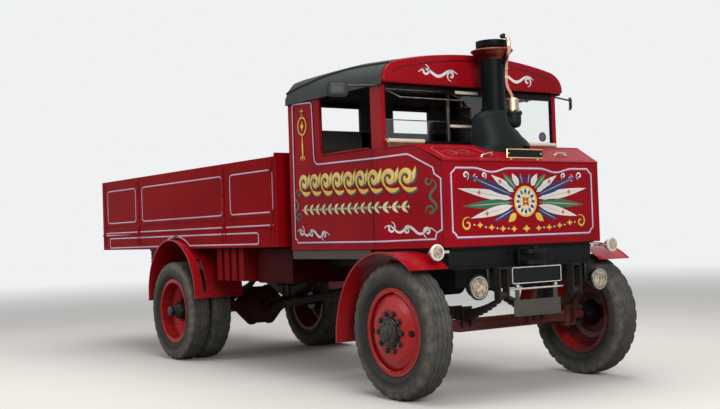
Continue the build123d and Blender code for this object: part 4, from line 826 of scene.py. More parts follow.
def diamond(shape, centre, half_wide, half_tall, place, lift=0.0006):
    """A painted lozenge with sides that curve in."""
    corners = [(1, 0), (0, 1), (-1, 0), (0, -1)]
    run = []
    for (du, dv), (eu, ev) in zip(corners, corners[1:] + corners[:1]):
        for t in (0, 0.25, 0.5, 0.75):
            draw = 1 - 0.28 * sin(pi * t)
            run.append((centre[0] + half_wide * (du * (1 - t) + eu * t) * draw,
                        centre[1] + half_tall * (dv * (1 - t) + ev * t) * draw))
    filled(shape, run, place, lift)


def ornament(name, paint, slot="body_paint"):
    """Signwriter's enamel, high up and nearly free of dust."""
    return painted(name, paint, slot, dust_top=0.8, dust_amount=0.2, gloss=0.3)


gold_leaf = ornament("gold_leaf", (0.78, 0.50, 0.08))
gold_pale = ornament("gold_pale", (0.80, 0.66, 0.36))
shade_blue = ornament("shade_blue", (0.035, 0.10, 0.13))
scroll_green = ornament("scroll_green", (0.06, 0.13, 0.085))
ornament_white = ornament("ornament_white", (0.76, 0.74, 0.74))

cab_line_corners = [
    (2.378, 2.390, 0.035), (2.690, 2.372, 0.035), (2.708, 1.842, 0.07), (3.6, 1.829, 0), (3.915, 1.838, 0.03),
    (4.150, 1.718, 0), (4.161, 1.672, 0), (4.220, 1.634, 0), (4.217, 1.258, 0), (4.165, 1.235, 0),
    (4.152, 1.190, 0), (3.6, 1.182, 0), (2.372, 1.188, -0.035),
]
medal_u, medal_z = 2.531, 2.185
band_count, band_start, band_pitch, band_z, band_fall = 9, 2.535, 0.170, 1.686, 0.034
chain_count, chain_start, chain_pitch, chain_z, chain_fall = 15, 2.525, 0.094, 1.466, 0.026
for side, side_name in sides:
    place = cab_place(side)
    white_shape, lilac_shape, gold_shape, pale_shape, blue_shape, green_shape, chalk_shape = new_shapes(7)
    double_line(white_shape, lilac_shape, outline(cab_line_corners), place, width=0.010)

    # A gold medallion with a spear above and below it on the rear pillar
    paint_stroke(gold_shape, ring_run((medal_u, medal_z), 0.066, 0.074, 28), 0.013, place, closed=True)
    diamond(gold_shape, (medal_u, medal_z), 0.030, 0.046, place)
    brush(gold_shape, [(medal_u, medal_z + step) for step in (0.078, 0.11, 0.152)], place, 0.005, 0.022)
    brush(gold_shape, [(medal_u, medal_z - step) for step in (0.078, 0.18, 0.296)], place, 0.008, 0.024)
    for way in (-1, 1):
        for root, reach, tip in ((0.092, 0.034, 0.13), (-0.262, 0.032, -0.295)):
            barb = bow((medal_u, medal_z + root), (medal_u + way * reach, medal_z + tip), 0.3 * way)
            brush(gold_shape, barb, place, 0.003, 0.012)

    # A band of bold gold running scrolls along the middle of the side, each with a blue shade below it
    for index in range(band_count):
        u = band_start + index * band_pitch
        v = band_z - band_fall * index / (band_count - 1)
        for shape, drop, lift in ((blue_shape, 0.013, 0.0002), (gold_shape, 0.0, 0.0008)):
            eye_u, eye_v = u + drop * 0.9, v + 0.010 - drop
            brush(shape, spiral((eye_u, eye_v), 0.074, 1.35, -4.1, 1, 34), place, 0.010, 0.044, lift)
            tail = bow((eye_u - 0.040, eye_v - 0.066), (eye_u + 0.098, eye_v - 0.084), -0.16)
            brush(shape, tail, place, 0.012, 0.034, lift)
            leaf(shape, (eye_u + 0.050, eye_v - 0.040), (eye_u + 0.096, eye_v + 0.080), 0.040, place, lift)
        brush(pale_shape, spiral((u, v + 0.014), 0.066, 0.8, -2.6, 1, 24), place, 0.004, 0.014, 0.0014)
        leaf(pale_shape, (u + 0.058, v - 0.004), (u + 0.090, v + 0.078), 0.016, place, 0.0014)

    # A chain of paler leaves and berries below it, and a small flourish near each lower corner
    for index in range(chain_count):
        for shape, drop, lift in ((blue_shape, 0.007, 0.0002), (pale_shape, 0.0, 0.0008)):
            u = chain_start + index * chain_pitch + drop
            v = chain_z - chain_fall * index / (chain_count - 1) - drop
            for way in (-1, 1):
                leaf(shape, (u, v), (u + 0.060, v + way * 0.046), 0.026, place, lift)
            diamond(shape, (u + 0.068, v), 0.013, 0.017, place, lift)
            brush(shape, [(u - 0.030, v), (u, v), (u + 0.060, v)], place, 0.004, 0.010, lift)
    for u in (2.66, 3.91):
        ripple = [(u - 0.25 + 0.50 * k / 30, 1.262 - 0.04 * (k / 30 - 0.5) + 0.024 * sin(5 * pi * k / 30))
                  for k in range(31)]
        brush(chalk_shape, ripple, place, 0.005, 0.021)
        for du, v, size, start, flip, thick in (
                (-0.18, 1.285, 0.046, 0.2, 1, 0.017), (-0.02, 1.262, 0.040, 1.8, -1, 0.016),
                (0.17, 1.245, 0.044, 3.3, 1, 0.017)):
            brush(chalk_shape, spiral((u + du, v), size, 1.2, start, flip), place, 0.004, thick)

    # Green scrolls near the front and rear edges of the lining
    for u, flip, z in ((4.115, 1, 1.50), (2.44, -1, 1.50)):
        brush(green_shape, [(u + flip * (0.03 + 0.03 * sin(3.2 * pi * k / 24)), z + 0.13 - 0.26 * k / 24)
                            for k in range(25)], place, 0.004, 0.024)
        brush(green_shape, spiral((u - flip * 0.015, z + 0.125), 0.042, 1.0, 0.4, flip), place, 0.004, 0.016)
        brush(green_shape, spiral((u, z - 0.10), 0.045, 1.15, 2.6, flip), place, 0.004, 0.018)

    # On the left, what crosses the door's edges is cut there, and the door's share rides on the door
    door_back, door_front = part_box("cab_door_left")[0].x, cab_front_x - 0.005
    stretches = [("right", "root", -9.0, 9.0)] if side < 0 else [
        ("left_back", "root", -9.0, door_back), ("left_door", "cab_door_left", door_back, door_front),
        ("left_front", "root", door_front, 9.0)]
    for name, shape, finish in (("line", white_shape, line_white), ("shadow_line", lilac_shape, line_lilac),
                                ("gold_ornament", gold_shape, gold_leaf),
                                ("pale_scroll", pale_shape, gold_pale),
                                ("blue_shade", blue_shape, shade_blue),
                                ("green_scroll", green_shape, scroll_green),
                                ("white_flourish", chalk_shape, ornament_white)):
        for place_name, body, low_x, high_x in stretches:
            part = shape.copy()
            if side > 0:
                for plane_x, outward in ((low_x, -1), (high_x, 1)):
                    bmesh.ops.bisect_plane(part, geom=part.verts[:] + part.edges[:] + part.faces[:],
                                           plane_co=(plane_x, 0, 0), plane_no=(outward, 0, 0),
                                           clear_outer=True)
            if part.faces:
                piece("cab_" + name + "_" + place_name, part, finish, body)
            else:
                part.free()
        shape.free()


# Cab fittings: the seam at the front of the right side, the beads along the cab's sides, and near-black
# linings inside that are painted shade. The left side's beads stop at the door.
seam_shape, trim_shape, lining_shape = new_shapes(3)
bar(seam_shape, (cab_front_x - 0.002, -cab_half - 0.0012, 1.128),
    (cab_front_x + 0.0025, -cab_half + 0.001, 1.905), 0.0005)
piece("cab_seam_right", seam_shape, black_paint)
for side, upper, lower in ((-1, (2.82, 3.52), (2.31, 3.6, 4.23)), (1, (2.31, 2.78), (3.545, 3.6, 4.23))):
    place = cab_place(side)
    tube(trim_shape, [place(u, 1.912, 0.003) for u in upper], 0.006, 8)
    tube(trim_shape, [place(u, 1.1275, 0.004) for u in lower], 0.006, 8)
piece("cab_side_beads", trim_shape, body_red)

inside_y = cab_half - 0.022
back_in_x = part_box("cab_back")[1].x
window_back_x = rear_axle_x + 2.786
for low_x, high_x, low_y, high_y, low_z, high_z in (
        (back_in_x + 0.01, window_back_x, -inside_y + 0.001, -inside_y + 0.006, 1.142, 2.40),
        (back_in_x + 0.01, window_back_x, inside_y - 0.006, inside_y - 0.001, 1.142, 2.40),
        (window_back_x, cab_front_x - 0.03, -inside_y + 0.001, -inside_y + 0.006, 1.142, 1.9),
        (back_in_x + 0.0005, back_in_x + 0.006, -0.915, -0.61, 1.56, 2.43),
        (back_in_x + 0.0005, back_in_x + 0.006, -0.185, 0.185, 1.56, 2.43),
        (back_in_x + 0.0005, back_in_x + 0.006, 0.61, 0.915, 1.56, 2.43),
        (back_in_x + 0.0005, back_in_x + 0.006, -0.915, 0.915, 1.56, 2.175)):
    bar(lining_shape, (low_x, low_y, low_z), (high_x, high_y, high_z))
piece("cab_inside_lining", lining_shape, cab_inside_shade)


# Cushions: a stuffed seat and back in brown leathercloth, sewn in upright channels, on the driver's bench.
# Each is crowned between its seams and drawn in at its edges.
def two_tone(name, slot, tones, scale, detail, rough, grit=0.5, spread=(0.0, 1.0), rough_spread=(0.0, 1.0),
             depth=0.0, relief=None, **constants):
    """A finish that drifts between two tones and two roughnesses in patches, with relief from them too."""
    finish, tree, shader = new_finish(name, slot, **constants)
    spot = surface(tree)
    patches = noise(tree, spot, scale, detail, grit)
    tone = blend(tree, ramp(tree, patches, *spread), (*tones[0], 1), (*tones[1], 1))
    height = (relief(tree, spot) if relief else patches) if depth else None
    feed(tree, shader, tone, ramp(tree, patches, *rough_spread, *rough), height, depth)
    return finish


def pebbled(tree, spot):
    """The fine embossed grain of leathercloth."""
    return add_node(tree, "ShaderNodeTexVoronoi", {"Vector": spot, "Scale": 260.0}).outputs["Distance"]


leather = two_tone("brown_leathercloth", "leathercloth", ((0.10, 0.035, 0.02), (0.04, 0.014, 0.009)),
                   5.0, 6.0, (0.32, 0.6), depth=0.0008, relief=pebbled, sheen_weight=0.15, coat_weight=0.12)


def cushion(shape, low, high, thick_axis, channels=12, short_steps=18):
    """A stuffed pad sewn in channels, between two corners."""
    low, high = Vector(low), Vector(high)
    long_steps = channels * 10
    long_axis, short_axis = [axis for axis in (1, 0, 2) if axis != thick_axis]
    grid = {}
    for layer in (0, 1):
        for i in range(long_steps + 1):
            for j in range(short_steps + 1):
                a, b = i / long_steps, j / short_steps
                swell = (1 - abs(2 * a - 1) ** 14) ** 0.5 * (1 - abs(2 * b - 1) ** 7) ** 0.5
                puff = 0.72 + 0.28 * abs(sin(pi * a * channels)) ** 0.6
                share = Vector((0, 0, 0))
                share[long_axis] = a + 0.0015 * sin(2 * pi * a * channels) * swell
                share[short_axis] = b
                share[thick_axis] = 0.5 + (0.5 * swell * puff if layer else -0.5 * (0.75 + 0.25 * swell))
                grid[layer, i, j] = shape.verts.new(low + (high - low) * share)
    for i in range(long_steps):
        for j in range(short_steps):
            shape.faces.new((grid[1, i, j], grid[1, i + 1, j], grid[1, i + 1, j + 1], grid[1, i, j + 1]))
            shape.faces.new((grid[0, i, j + 1], grid[0, i + 1, j + 1], grid[0, i + 1, j], grid[0, i, j]))
    for i in range(long_steps):
        for j in (0, short_steps):
            shape.faces.new((grid[0, i, j], grid[0, i + 1, j], grid[1, i + 1, j], grid[1, i, j]))
    for j in range(short_steps):
        for i in (0, long_steps):
            shape.faces.new((grid[0, i, j + 1], grid[0, i, j], grid[1, i, j], grid[1, i, j + 1]))


seat_low, seat_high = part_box("seat_cushions")
seat_shape, back_shape = new_shapes(2)
cushion(seat_shape, (seat_low.x + 0.062, seat_low.y, seat_low.z),
        (seat_high.x, seat_high.y, seat_low.z + 0.09), 2)
seat_pad = piece("seat_pad", seat_shape, leather, sharp=60.0)
cushion(back_shape, seat_low, (seat_low.x + 0.0585, seat_high.y, seat_high.z), 0)
back_pad = piece("back_pad", back_shape, leather, sharp=60.0)
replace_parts(seat_pad, "seat_cushions")
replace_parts(back_pad, "seat_cushions")


# Front panel: one sheet of steel with a half-round bead round its edge, coach painted and lined. Its middle
# carries a painted fan of leaves and lozenges round a rosette, in white, blue, green, orange and gold.
give(body_red, "front_panel", "hood")
panel_place = upright_place(panel_x)
white_shape, lilac_shape, gold_shape, blue_shape, green_shape, chalk_shape, orange_shape = new_shapes(7)
notch = [(0.695, 1.712), (0.715, 1.690), (0.74, 1.672), (0.74, 1.240), (0.715, 1.222), (0.695, 1.195)]
top_run = [(u, 1.712 - 0.030 * sin(pi * min(max((abs(u) - 0.16) / 0.36, 0), 1)) ** 2)
           for u in [0.74 - 1.48 * k / 40 for k in range(40, -1, -1)] if abs(u) < 0.66]
panel_run = [(-u, v) for u, v in notch[2::-1]] + top_run + notch + [(-u, v) for u, v in notch[:2:-1]]
double_line(white_shape, lilac_shape, panel_run, panel_place, shadow=(-0.006, -0.007), width=0.011)

centre_z = 1.455
for radius, width in ((0.112, 0.016), (0.060, 0.010)):
    paint_stroke(gold_shape, ring_run((0, centre_z), radius, radius, 48), width, panel_place, closed=True,
                 lift=0.0012)
filled(chalk_shape, ring_run((0, centre_z), 0.105, 0.105, 40), panel_place, 0.0004)
for count, inner, outer, odd_shape, even_shape, lift in ((12, 0.062, 0.102, blue_shape, green_shape, 0.0014),
                                                         (8, 0.006, 0.052, orange_shape, gold_shape, 0.0016)):
    petals = zip(ring_run((0, centre_z), inner, inner, count), ring_run((0, centre_z), outer, outer, count))
    for index, (base, tip) in enumerate(petals):
        leaf(odd_shape if index % 2 else even_shape, base, tip, 0.026, panel_place, lift)
fan = [(9, 0.69, chalk_shape), (20, 0.62, blue_shape), (32, 0.41, chalk_shape), (45, 0.325, green_shape),
       (60, 0.265, chalk_shape), (78, 0.245, blue_shape), (-3, 0.64, green_shape), (-13, 0.58, chalk_shape),
       (-25, 0.385, blue_shape), (-42, 0.25, gold_shape)]
for way in (-1, 1):
    for index, (turn, reach, shape) in enumerate(fan):
        angle = radians(turn)
        base = Vector((way * 0.14 * cos(angle), centre_z + 0.14 * sin(angle)))
        tip = Vector((way * reach * cos(angle), centre_z + reach * sin(angle) * 0.94))
        leaf(shape, base, tip, 0.050 + 0.03 * reach, panel_place, 0.0012 if index % 2 else 0.0006)
        brush(gold_shape, [base.lerp(tip, 0.06 + 0.1 * k) for k in range(9)], panel_place, 0.002, 0.006,
              0.0019)
        if index in (0, 2, 7):
            diamond(orange_shape, base.lerp(tip, 0.62), 0.020, 0.024, panel_place, 0.0026)
    for index in range(4):
        u, drop = way * (0.13 + 0.115 * index), 1.245 + 0.004 * index * index
        diamond(gold_shape, (u, drop), 0.034, 0.024, panel_place)
        diamond(chalk_shape, (u + way * 0.057, drop + 0.004), 0.012, 0.010, panel_place)
    brush(gold_shape, spiral((way * 0.60, 1.29), 0.055, 1.25, 0.5, way), panel_place, 0.004, 0.016)
    for u, v, size, turn in ((0.60, 1.655, 0.034, 3.4), (0.50, 1.635, 0.030, 0.6), (0.42, 1.655, 0.026, 3.4)):
        brush(chalk_shape, spiral((way * u, v), size, 1.15, turn, way), panel_place, 0.004, 0.014)
diamond(gold_shape, (0, 1.245), 0.042, 0.030, panel_place)
for name, shape, finish in (("line", white_shape, line_white), ("shadow_line", lilac_shape, line_lilac),
                            ("gold", gold_shape, gold_leaf), ("white", chalk_shape, ornament_white),
                            ("blue", blue_shape, ornament("ornament_blue", (0.02, 0.035, 0.16))),
                            ("green", green_shape, ornament("ornament_green", (0.03, 0.17, 0.11))),
                            ("orange", orange_shape, ornament("ornament_orange", (0.62, 0.12, 0.03)))):
    piece("front_panel_" + name, shape, finish)

bead_shape = bmesh.new()
for side, _ in sides:
    tube(bead_shape, [(panel_x - 0.003, side * (panel_half - 0.003), z) for z in (1.128, 1.765)], 0.008, 10)
tube(bead_shape, [(panel_x - 0.002, y, 1.130) for y in (-panel_half, panel_half)], 0.007, 10)
piece("front_panel_bead", bead_shape, body_red)


# Hood: folded sheet over the boiler, with a rolled edge, two lifting handles and a blank plate in a brass
# frame at its front. Faded lines and small green scrolls run along its edges.
deck = Vector((rear_axle_x + 3.985, 0, 1.905))
slope_run = Vector((panel_x + 0.006, 0, 1.769)) - deck
slope_normal = Vector((-slope_run.z, 0, slope_run.x)).normalized()


def hood_place(u, v, lift):
    """Where a distance across and a share of the way down lie on the hood's front slope."""
    return deck + slope_run * v + slope_normal * lift + LEFT * u


white_shape, lilac_shape, green_shape, fold_shape = new_shapes(4)
hood_run = ((0.29, 0.52), (0.34, 0.20), (0.42, 0.12), (0.72, 0.12), (0.765, 0.25), (0.757, 0.80),
            (0.72, 0.90), (0.24, 0.90))
for side, _ in sides:
    paint_stroke(white_shape, [(side * u, v) for u, v in hood_run], 0.007, hood_place, lift=0.0008)
    paint_stroke(lilac_shape, [(side * (u + 0.005), v + 0.02) for u, v in hood_run], 0.007, hood_place,
                 lift=0.0003)
    for u, v, way in ((0.47, 0.45, 1), (0.62, 0.52, -1)):
        curl = []
        for share in [k / 22 for k in range(23)]:
            angle, radius = 0.5 + 5.6 * share, 0.3 + 0.7 * share
            curl.append((side * (u + 0.05 * cos(angle) * radius), v + way * 0.16 * sin(angle) * radius))
        brush(green_shape, curl, hood_place, 0.003, 0.014)
    brush(green_shape, [(side * (0.40 + 0.32 * k / 20), 0.5 + 0.12 * sin(2 * pi * k / 20))
                        for k in range(21)], hood_place, 0.003, 0.012)
piece("hood_line", white_shape, ornament("line_faded", (0.36, 0.11, 0.14)))
piece("hood_shadow_line", lilac_shape, ornament("line_wine", (0.12, 0.02, 0.05)))
piece("hood_green_scroll", green_shape, scroll_green)

hip_half = cab_half - (deck.x - rear_axle_x - taper_start) * taper
for side, _ in sides:
    tube(fold_shape, [deck + Vector((0.001, side * y, -0.002)) for y in (0.27, hip_half)], 0.005, 8)
tube(fold_shape, [(panel_x + 0.005, y, 1.7645) for y in (-panel_half, panel_half)], 0.0065, 8)
piece("hood_folds", fold_shape, body_red)


def old_metal(name, slot, bright, dull, rough_low, rough_high):
    """Polished metal that has dulled in patches."""
    return two_tone(name, slot, (bright, dull), 18.0, 6.0, (rough_low, rough_high), 0.6, (0.35, 0.7),
                    depth=0.0006, metallic=1.0)


bright_metal = two_tone("bright_metal", "nickel", ((0.78, 0.76, 0.70), (0.50, 0.48, 0.43)), 40.0, 5.0,
                        (0.08, 0.3), depth=0.0004, metallic=1.0)
copper = old_metal("copper", "copper", (0.50, 0.17, 0.10), (0.09, 0.03, 0.02), 0.16, 0.42)
# Darker copper for the cap's bell under the brim: painted shade, while the brim keeps plain copper
shaded_copper = old_metal("shaded_copper", "copper", (0.24, 0.07, 0.045), (0.06, 0.018, 0.014), 0.22, 0.5)
pipe_copper = old_metal("pipe_copper", "copper", (0.88, 0.52, 0.40), (0.62, 0.30, 0.20), 0.14, 0.36)
vent_brown_reflection = old_metal("vent_brown_reflection", "copper", (0.20, 0.10, 0.06), (0.07, 0.03, 0.02), 0.35, 0.6)
brass = old_metal("brass", "brass", (0.86, 0.66, 0.32), (0.60, 0.44, 0.2), 0.12, 0.35)
valve_brass = old_metal("valve_brass", "brass", (0.50, 0.42, 0.31), (0.36, 0.28, 0.19), 0.32, 0.50)
channel_metal = old_metal("worn_channel", "nickel", (0.20, 0.18, 0.16), (0.07, 0.06, 0.055), 0.35, 0.6)
lamp_shell = old_metal("lamp_shell", "nickel", (0.07, 0.07, 0.065), (0.025, 0.025, 0.024), 0.25, 0.45)


def eased(corners, radius, steps=6):
    """A run of points with each inner corner rounded."""
    corners = [Vector(corner) for corner in corners]
    run = [corners[0]]
    for before, corner, after in zip(corners, corners[1:], corners[2:]):
        back, onward = before - corner, after - corner
        reach = min(radius, back.length * 0.48, onward.length * 0.48)
        run += rounded(corner + back.normalized() * reach, corner, corner + onward.normalized() * reach,
                       steps)
    return run + [corners[-1]]


handle_shape, plate_shape, rim_shape = new_shapes(3)
for ends in (((-0.39, 0.78), (-0.245, 0.60)), ((0.455, 0.56), (0.565, 0.56))):
    lifts = zip((ends[0], *ends, ends[1]), (-0.002, 0.017, 0.017, -0.002))
    tube(handle_shape, eased([hood_place(*end, lift) for end, lift in lifts], 0.012), 0.0065, 10)
    for end in ends:
        turned(handle_shape, [(0, 0.014), (0.004, 0.014), (0.006, 0.009)], hood_place(*end, 0.0),
               slope_normal, 16)
piece("hood_handles", handle_shape, bright_metal)

plate_low_z, plate_high_z = 1.794, 1.859
plate_low_y, plate_high_y = -0.170, 0.206
bar(plate_shape, (panel_x - 0.012, plate_low_y, plate_low_z), (panel_x - 0.006, plate_high_y, plate_high_z))
piece("hood_blank_plate", plate_shape, black_paint)
tube(rim_shape, [(panel_x - 0.006, y, z) for y, z in (
    (plate_low_y, plate_low_z), (plate_high_y, plate_low_z), (plate_high_y, plate_high_z),
    (plate_low_y, plate_high_z), (plate_low_y, plate_low_z))], 0.005, 8)
bolt_heads(rim_shape, [(panel_x - 0.006, y, (plate_low_z + plate_high_z) / 2)
                       for y in (plate_low_y + 0.018, plate_high_y - 0.018)], AHEAD, 0.010, 0.005)
for y in (plate_low_y + 0.048, plate_high_y - 0.048):
    bar(rim_shape, (panel_x - 0.022, y - 0.010, 1.776), (panel_x - 0.012, y + 0.010, 1.845), 0.001)
piece("hood_plate_frame", rim_shape, brass)


# Smokebox saddle and chimney: black heat-proof paint over a casting that flares at its foot, with a plate
# stack and a spun copper cap. A cast pot on the saddle's side, joined to it by a pipe, carries the valve.
stack_black = painted("stack_black", (0.008, 0.011, 0.011), "cast_black", dust_top=2.0, dust_amount=0.06,
                      gloss=0.42, grain_scale=120.0, grain_depth=0.0003, shine=0.12)
stack_dark = painted("stack_dark", (0.0025, 0.004, 0.004), "cast_black", dust_top=2.0, dust_amount=0.0,
                     gloss=0.40, grain_scale=120.0, grain_depth=0.0003, shine=0.07)
stack_x = rear_axle_x + 3.92
saddle_low, saddle_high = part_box("smokebox_saddle")
saddle_square = 2.2
saddle_count = 56

# Rows: height, half length, reach to the right, reach to the left
saddle_form = [
    (saddle_low.z, 0.160, 0.255, 0.255), (1.9055, 0.160, 0.255, 0.262), (1.9075, 0.156, 0.205, 0.352),
    (1.925, 0.155, 0.204, 0.344), (1.955, 0.152, 0.204, 0.312), (1.990, 0.148, 0.205, 0.252),
    (2.030, 0.142, 0.206, 0.208), (2.050, 0.136, 0.206, 0.168), (2.066, 0.132, 0.206, 0.124),
    (2.085, 0.127, 0.206, 0.104), (2.110, 0.121, 0.205, 0.094), (2.135, 0.115, 0.200, 0.092),
    (2.158, 0.111, 0.180, 0.096), (2.176, 0.108, 0.150, 0.100), (saddle_high.z, 0.104, 0.118, 0.102)]


def squared(reach, part):
    """A rounded rectangle's reach along one axis, from the sine or cosine of its angle."""
    return reach * abs(part) ** (2 / saddle_square) * (1 if part >= 0 else -1)


saddle_shape, stack_shape, cap_shape, brim_shape = new_shapes(4)
saddle_turns = [2 * pi * k / saddle_count for k in range(saddle_count)]
skin(saddle_shape,
     [[Vector((stack_x + squared(along, cos(a)), squared(left if sin(a) >= 0 else right, sin(a)), z))
       for a in saddle_turns] for z, along, right, left in saddle_form])
valve_spot = Vector((stack_x + 0.020, 0.182, saddle_high.z))
turned(saddle_shape, [(0, 0.062), (0.19, 0.064)], (stack_x, 0.0, 2.112), (0, 1, 0), 32)
turned(saddle_shape, [(-0.128, 0.030), (-0.122, 0.052), (-0.104, 0.066), (-0.080, 0.070), (-0.024, 0.070),
                      (-0.022, 0.080), (-0.002, 0.080), (0, 0.077)], valve_spot, UP, 36)
pot_bolts = [valve_spot + Vector((0.066 * cos(a), 0.066 * sin(a), 0)) for a in (0.5, 1.5, 2.6, 3.7, 4.8, 5.8)]
bolt_heads(saddle_shape, pot_bolts, UP, 0.014, 0.008)
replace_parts(piece("saddle_casting", saddle_shape, stack_black, sharp=40.0), "smokebox_saddle")
turned(stack_shape, [(0.0, 0.104), (0.012, 0.104), (0.014, 0.0975), (0.034, 0.0975), (0.036, 0.0945),
                     (0.50, 0.094), (0.510, 0.124), (0.514, 0.126), (0.562, 0.127), (0.562, 0.114),
                     (0.507, 0.078), (0.30, 0.078)],
       (stack_x, 0, saddle_high.z + 0.0003), UP, 48, cap=False)
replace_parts(piece("chimney_stack", stack_shape, stack_dark, sharp=30.0), "chimney")
turned(cap_shape, [(2.602, 0.0950), (2.602, 0.0985), (2.610, 0.104), (2.622, 0.120), (2.635, 0.134),
                   (2.648, 0.147), (2.660, 0.158), (2.668, 0.166)], (stack_x, 0, 0), UP, 48, cap=False)
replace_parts(piece("chimney_cap_bell", cap_shape, shaded_copper, sharp=30.0), "chimney_cap")
turned(brim_shape, [(2.668, 0.1655), (2.670, 0.1690), (2.674, 0.1702), (2.679, 0.1690), (2.683, 0.161),
                    (2.687, 0.140), (2.688, 0.0955)], (stack_x, 0, 0), UP, 48, cap=False)
piece("chimney_cap_brim", brim_shape, copper, sharp=30.0)


# Safety valve and blow-off pipe: a turned brass body on the black pot, and a bright copper pipe that is
# clipped up the chimney's side, passes its cap and ends in a short hook with a black nozzle.
valve_shape, pipe_shape, clip_shape, nozzle_shape = new_shapes(4)
turned(valve_shape, [(0, 0.044), (0.012, 0.044), (0.014, 0.058), (0.026, 0.058), (0.028, 0.055),
                     (0.084, 0.055), (0.086, 0.059), (0.100, 0.059), (0.104, 0.050), (0.112, 0.038),
                     (0.118, 0.024)],
       valve_spot + UP * 0.0003, UP, 36)
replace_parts(piece("valve_body", valve_shape, valve_brass, sharp=30.0), "safety_valve")
pipe_corners = [(3.940, 0.182, 2.305), (3.941, 0.170, 2.335), (3.950, 0.114, 2.395), (3.968, 0.094, 2.465),
                (3.980, 0.088, 2.535), (4.012, 0.062, 2.590), (4.066, 0.036, 2.630), (4.100, 0.022, 2.675),
                (4.101, 0.018, 2.725), (4.096, 0.010, 2.762), (4.086, -0.010, 2.772)]
pipe_corners = [Vector((rear_axle_x + x, y, z)) for x, y, z in pipe_corners]
pipe_run = eased(pipe_corners, 0.04, 5)
tube(pipe_shape, pipe_run, 0.0175, 16)
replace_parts(piece("blow_off_pipe_run", pipe_shape, pipe_copper, sharp=50.0), "blow_off_pipe")
for clip in pipe_corners[3:5]:
    turned(clip_shape, [(-0.008, 0.0180), (-0.007, 0.0205), (0.007, 0.0205), (0.008, 0.0180)], clip,
           (0.1, -0.1, 1), 20)
    inward = (Vector((stack_x, 0, clip.z)) - clip).normalized()
    tube(clip_shape, [clip + inward * 0.016, clip + inward * (hypot(clip.x - stack_x, clip.y) - 0.0935)],
         0.006, 10)
piece("pipe_clips", clip_shape, brass)
tip_way = (pipe_run[-1] - pipe_run[-3]).normalized() - UP * 0.6
turned(nozzle_shape, [(-0.004, 0.0165), (0, 0.0215), (0.012, 0.0215), (0.034, 0.015), (0.036, 0.009)],
       pipe_run[-1], tip_way, 20)
piece("pipe_nozzle", nozzle_shape, stack_black)


# Windscreen: a wooden frame, red outside, with worn channels round the panes. The driver's upper pane stands
# open, so its edge is drawn swung out. A brown ventilator with a cream lip stands at the foot of each outer
# pane;
# its cream and brown are painted reflection, pale where the sill catches the sky and brown below it.
# The frame is near-black brown except on the outer faces of its end pillars: painted shade, as under the peak
# and inside the cab
give(red_with_shaded_inside("windscreen_red", 1.0, "MULTIPLY"), "windscreen_frame")
# Cream paint standing in for bright reflection on the sills and rails
cream_reflection_paint = ornament("cream_reflection_paint", (0.70, 0.64, 0.50), "nickel")
screen_face_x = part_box("windscreen_frame")[1].x
pane_low, pane_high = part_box("windscreen_glass")
pane_x, pane_half = pane_low.x, pane_high.y
mullion_y, rail_z, sill_z, header_z = 0.255, 2.127, 1.965, 2.345
channel_shape, strip_shape = new_shapes(2)
for y in (-mullion_y, mullion_y):
    bar(channel_shape, (pane_x + 0.0142, y - 0.0105, sill_z), (pane_x + 0.018, y + 0.0105, header_z), 0.0012)
bar(channel_shape, (pane_x - 0.003, -pane_half + 0.001, rail_z - 0.004),
    (pane_x + 0.009, -mullion_y - 0.012, rail_z + 0.004), 0.0015)
open_turn, open_length = radians(66.0), 0.222
open_down = Vector((sin(open_turn), 0, -cos(open_turn)))
open_face = Vector((cos(open_turn), 0, sin(open_turn)))
open_top = Vector((pane_x + 0.0222, 0, header_z + 0.014)) + open_face * 0.003
open_right, open_left = -pane_half + 0.002, -mullion_y - 0.013
pane_corners = [open_top + open_down * run + LEFT * y for run, y in (
    (0.004, open_right), (open_length, open_right), (open_length, open_left), (0.004, open_left))]
tube(channel_shape, eased(pane_corners, 0.01), 0.0052, 8)
# Cream bars at the middle rail and under the header: painted reflection where the panes catch the sky
bar(strip_shape, (pane_x + 0.0142, -mullion_y + 0.011, rail_z - 0.045),
    (pane_x + 0.026, mullion_y - 0.011, rail_z - 0.023), 0.004)
bar(strip_shape, (screen_face_x + 0.0004, -0.195, 2.353), (screen_face_x + 0.012, 0.045, 2.378), 0.004)
piece("middle_light_reflection_strips", strip_shape, cream_reflection_paint)
piece("windscreen_channels", channel_shape, channel_metal)

# Small fittings inside the far pane: a blank disc in its holder low in the corner, a hook and a short rail
holder_shape, disc_shape, vent_shape, lip_shape = new_shapes(4)
disc_spot, hook_spot = (pane_x - 0.004, 0.807, 2.032), Vector((pane_x - 0.020, 0.644, 2.348))
turned(holder_shape, [(0.0, 0.041), (0.004, 0.041), (0.006, 0.036), (0.006, 0.031)], disc_spot, AHEAD, 32,
       cap=False)
turned(holder_shape, [(-0.003, 0.030), (-0.002, 0.041), (0.0, 0.041)], disc_spot, AHEAD, 32)
turned(disc_shape, [(0.0005, 0.031), (0.0035, 0.031), (0.004, 0.026), (0.0041, 0.008)], disc_spot, AHEAD, 32)
turned(holder_shape, [(0.0, 0.010), (0.004, 0.022), (0.010, 0.022), (0.014, 0.010)], hook_spot, AHEAD, 24)
tube(holder_shape, [hook_spot + Vector((0.007, 0, z)) for z in (0, 0.037)], 0.006, 10)
piece("pane_holders", holder_shape, black_paint)
piece("blank_disc", disc_shape, line_lilac)

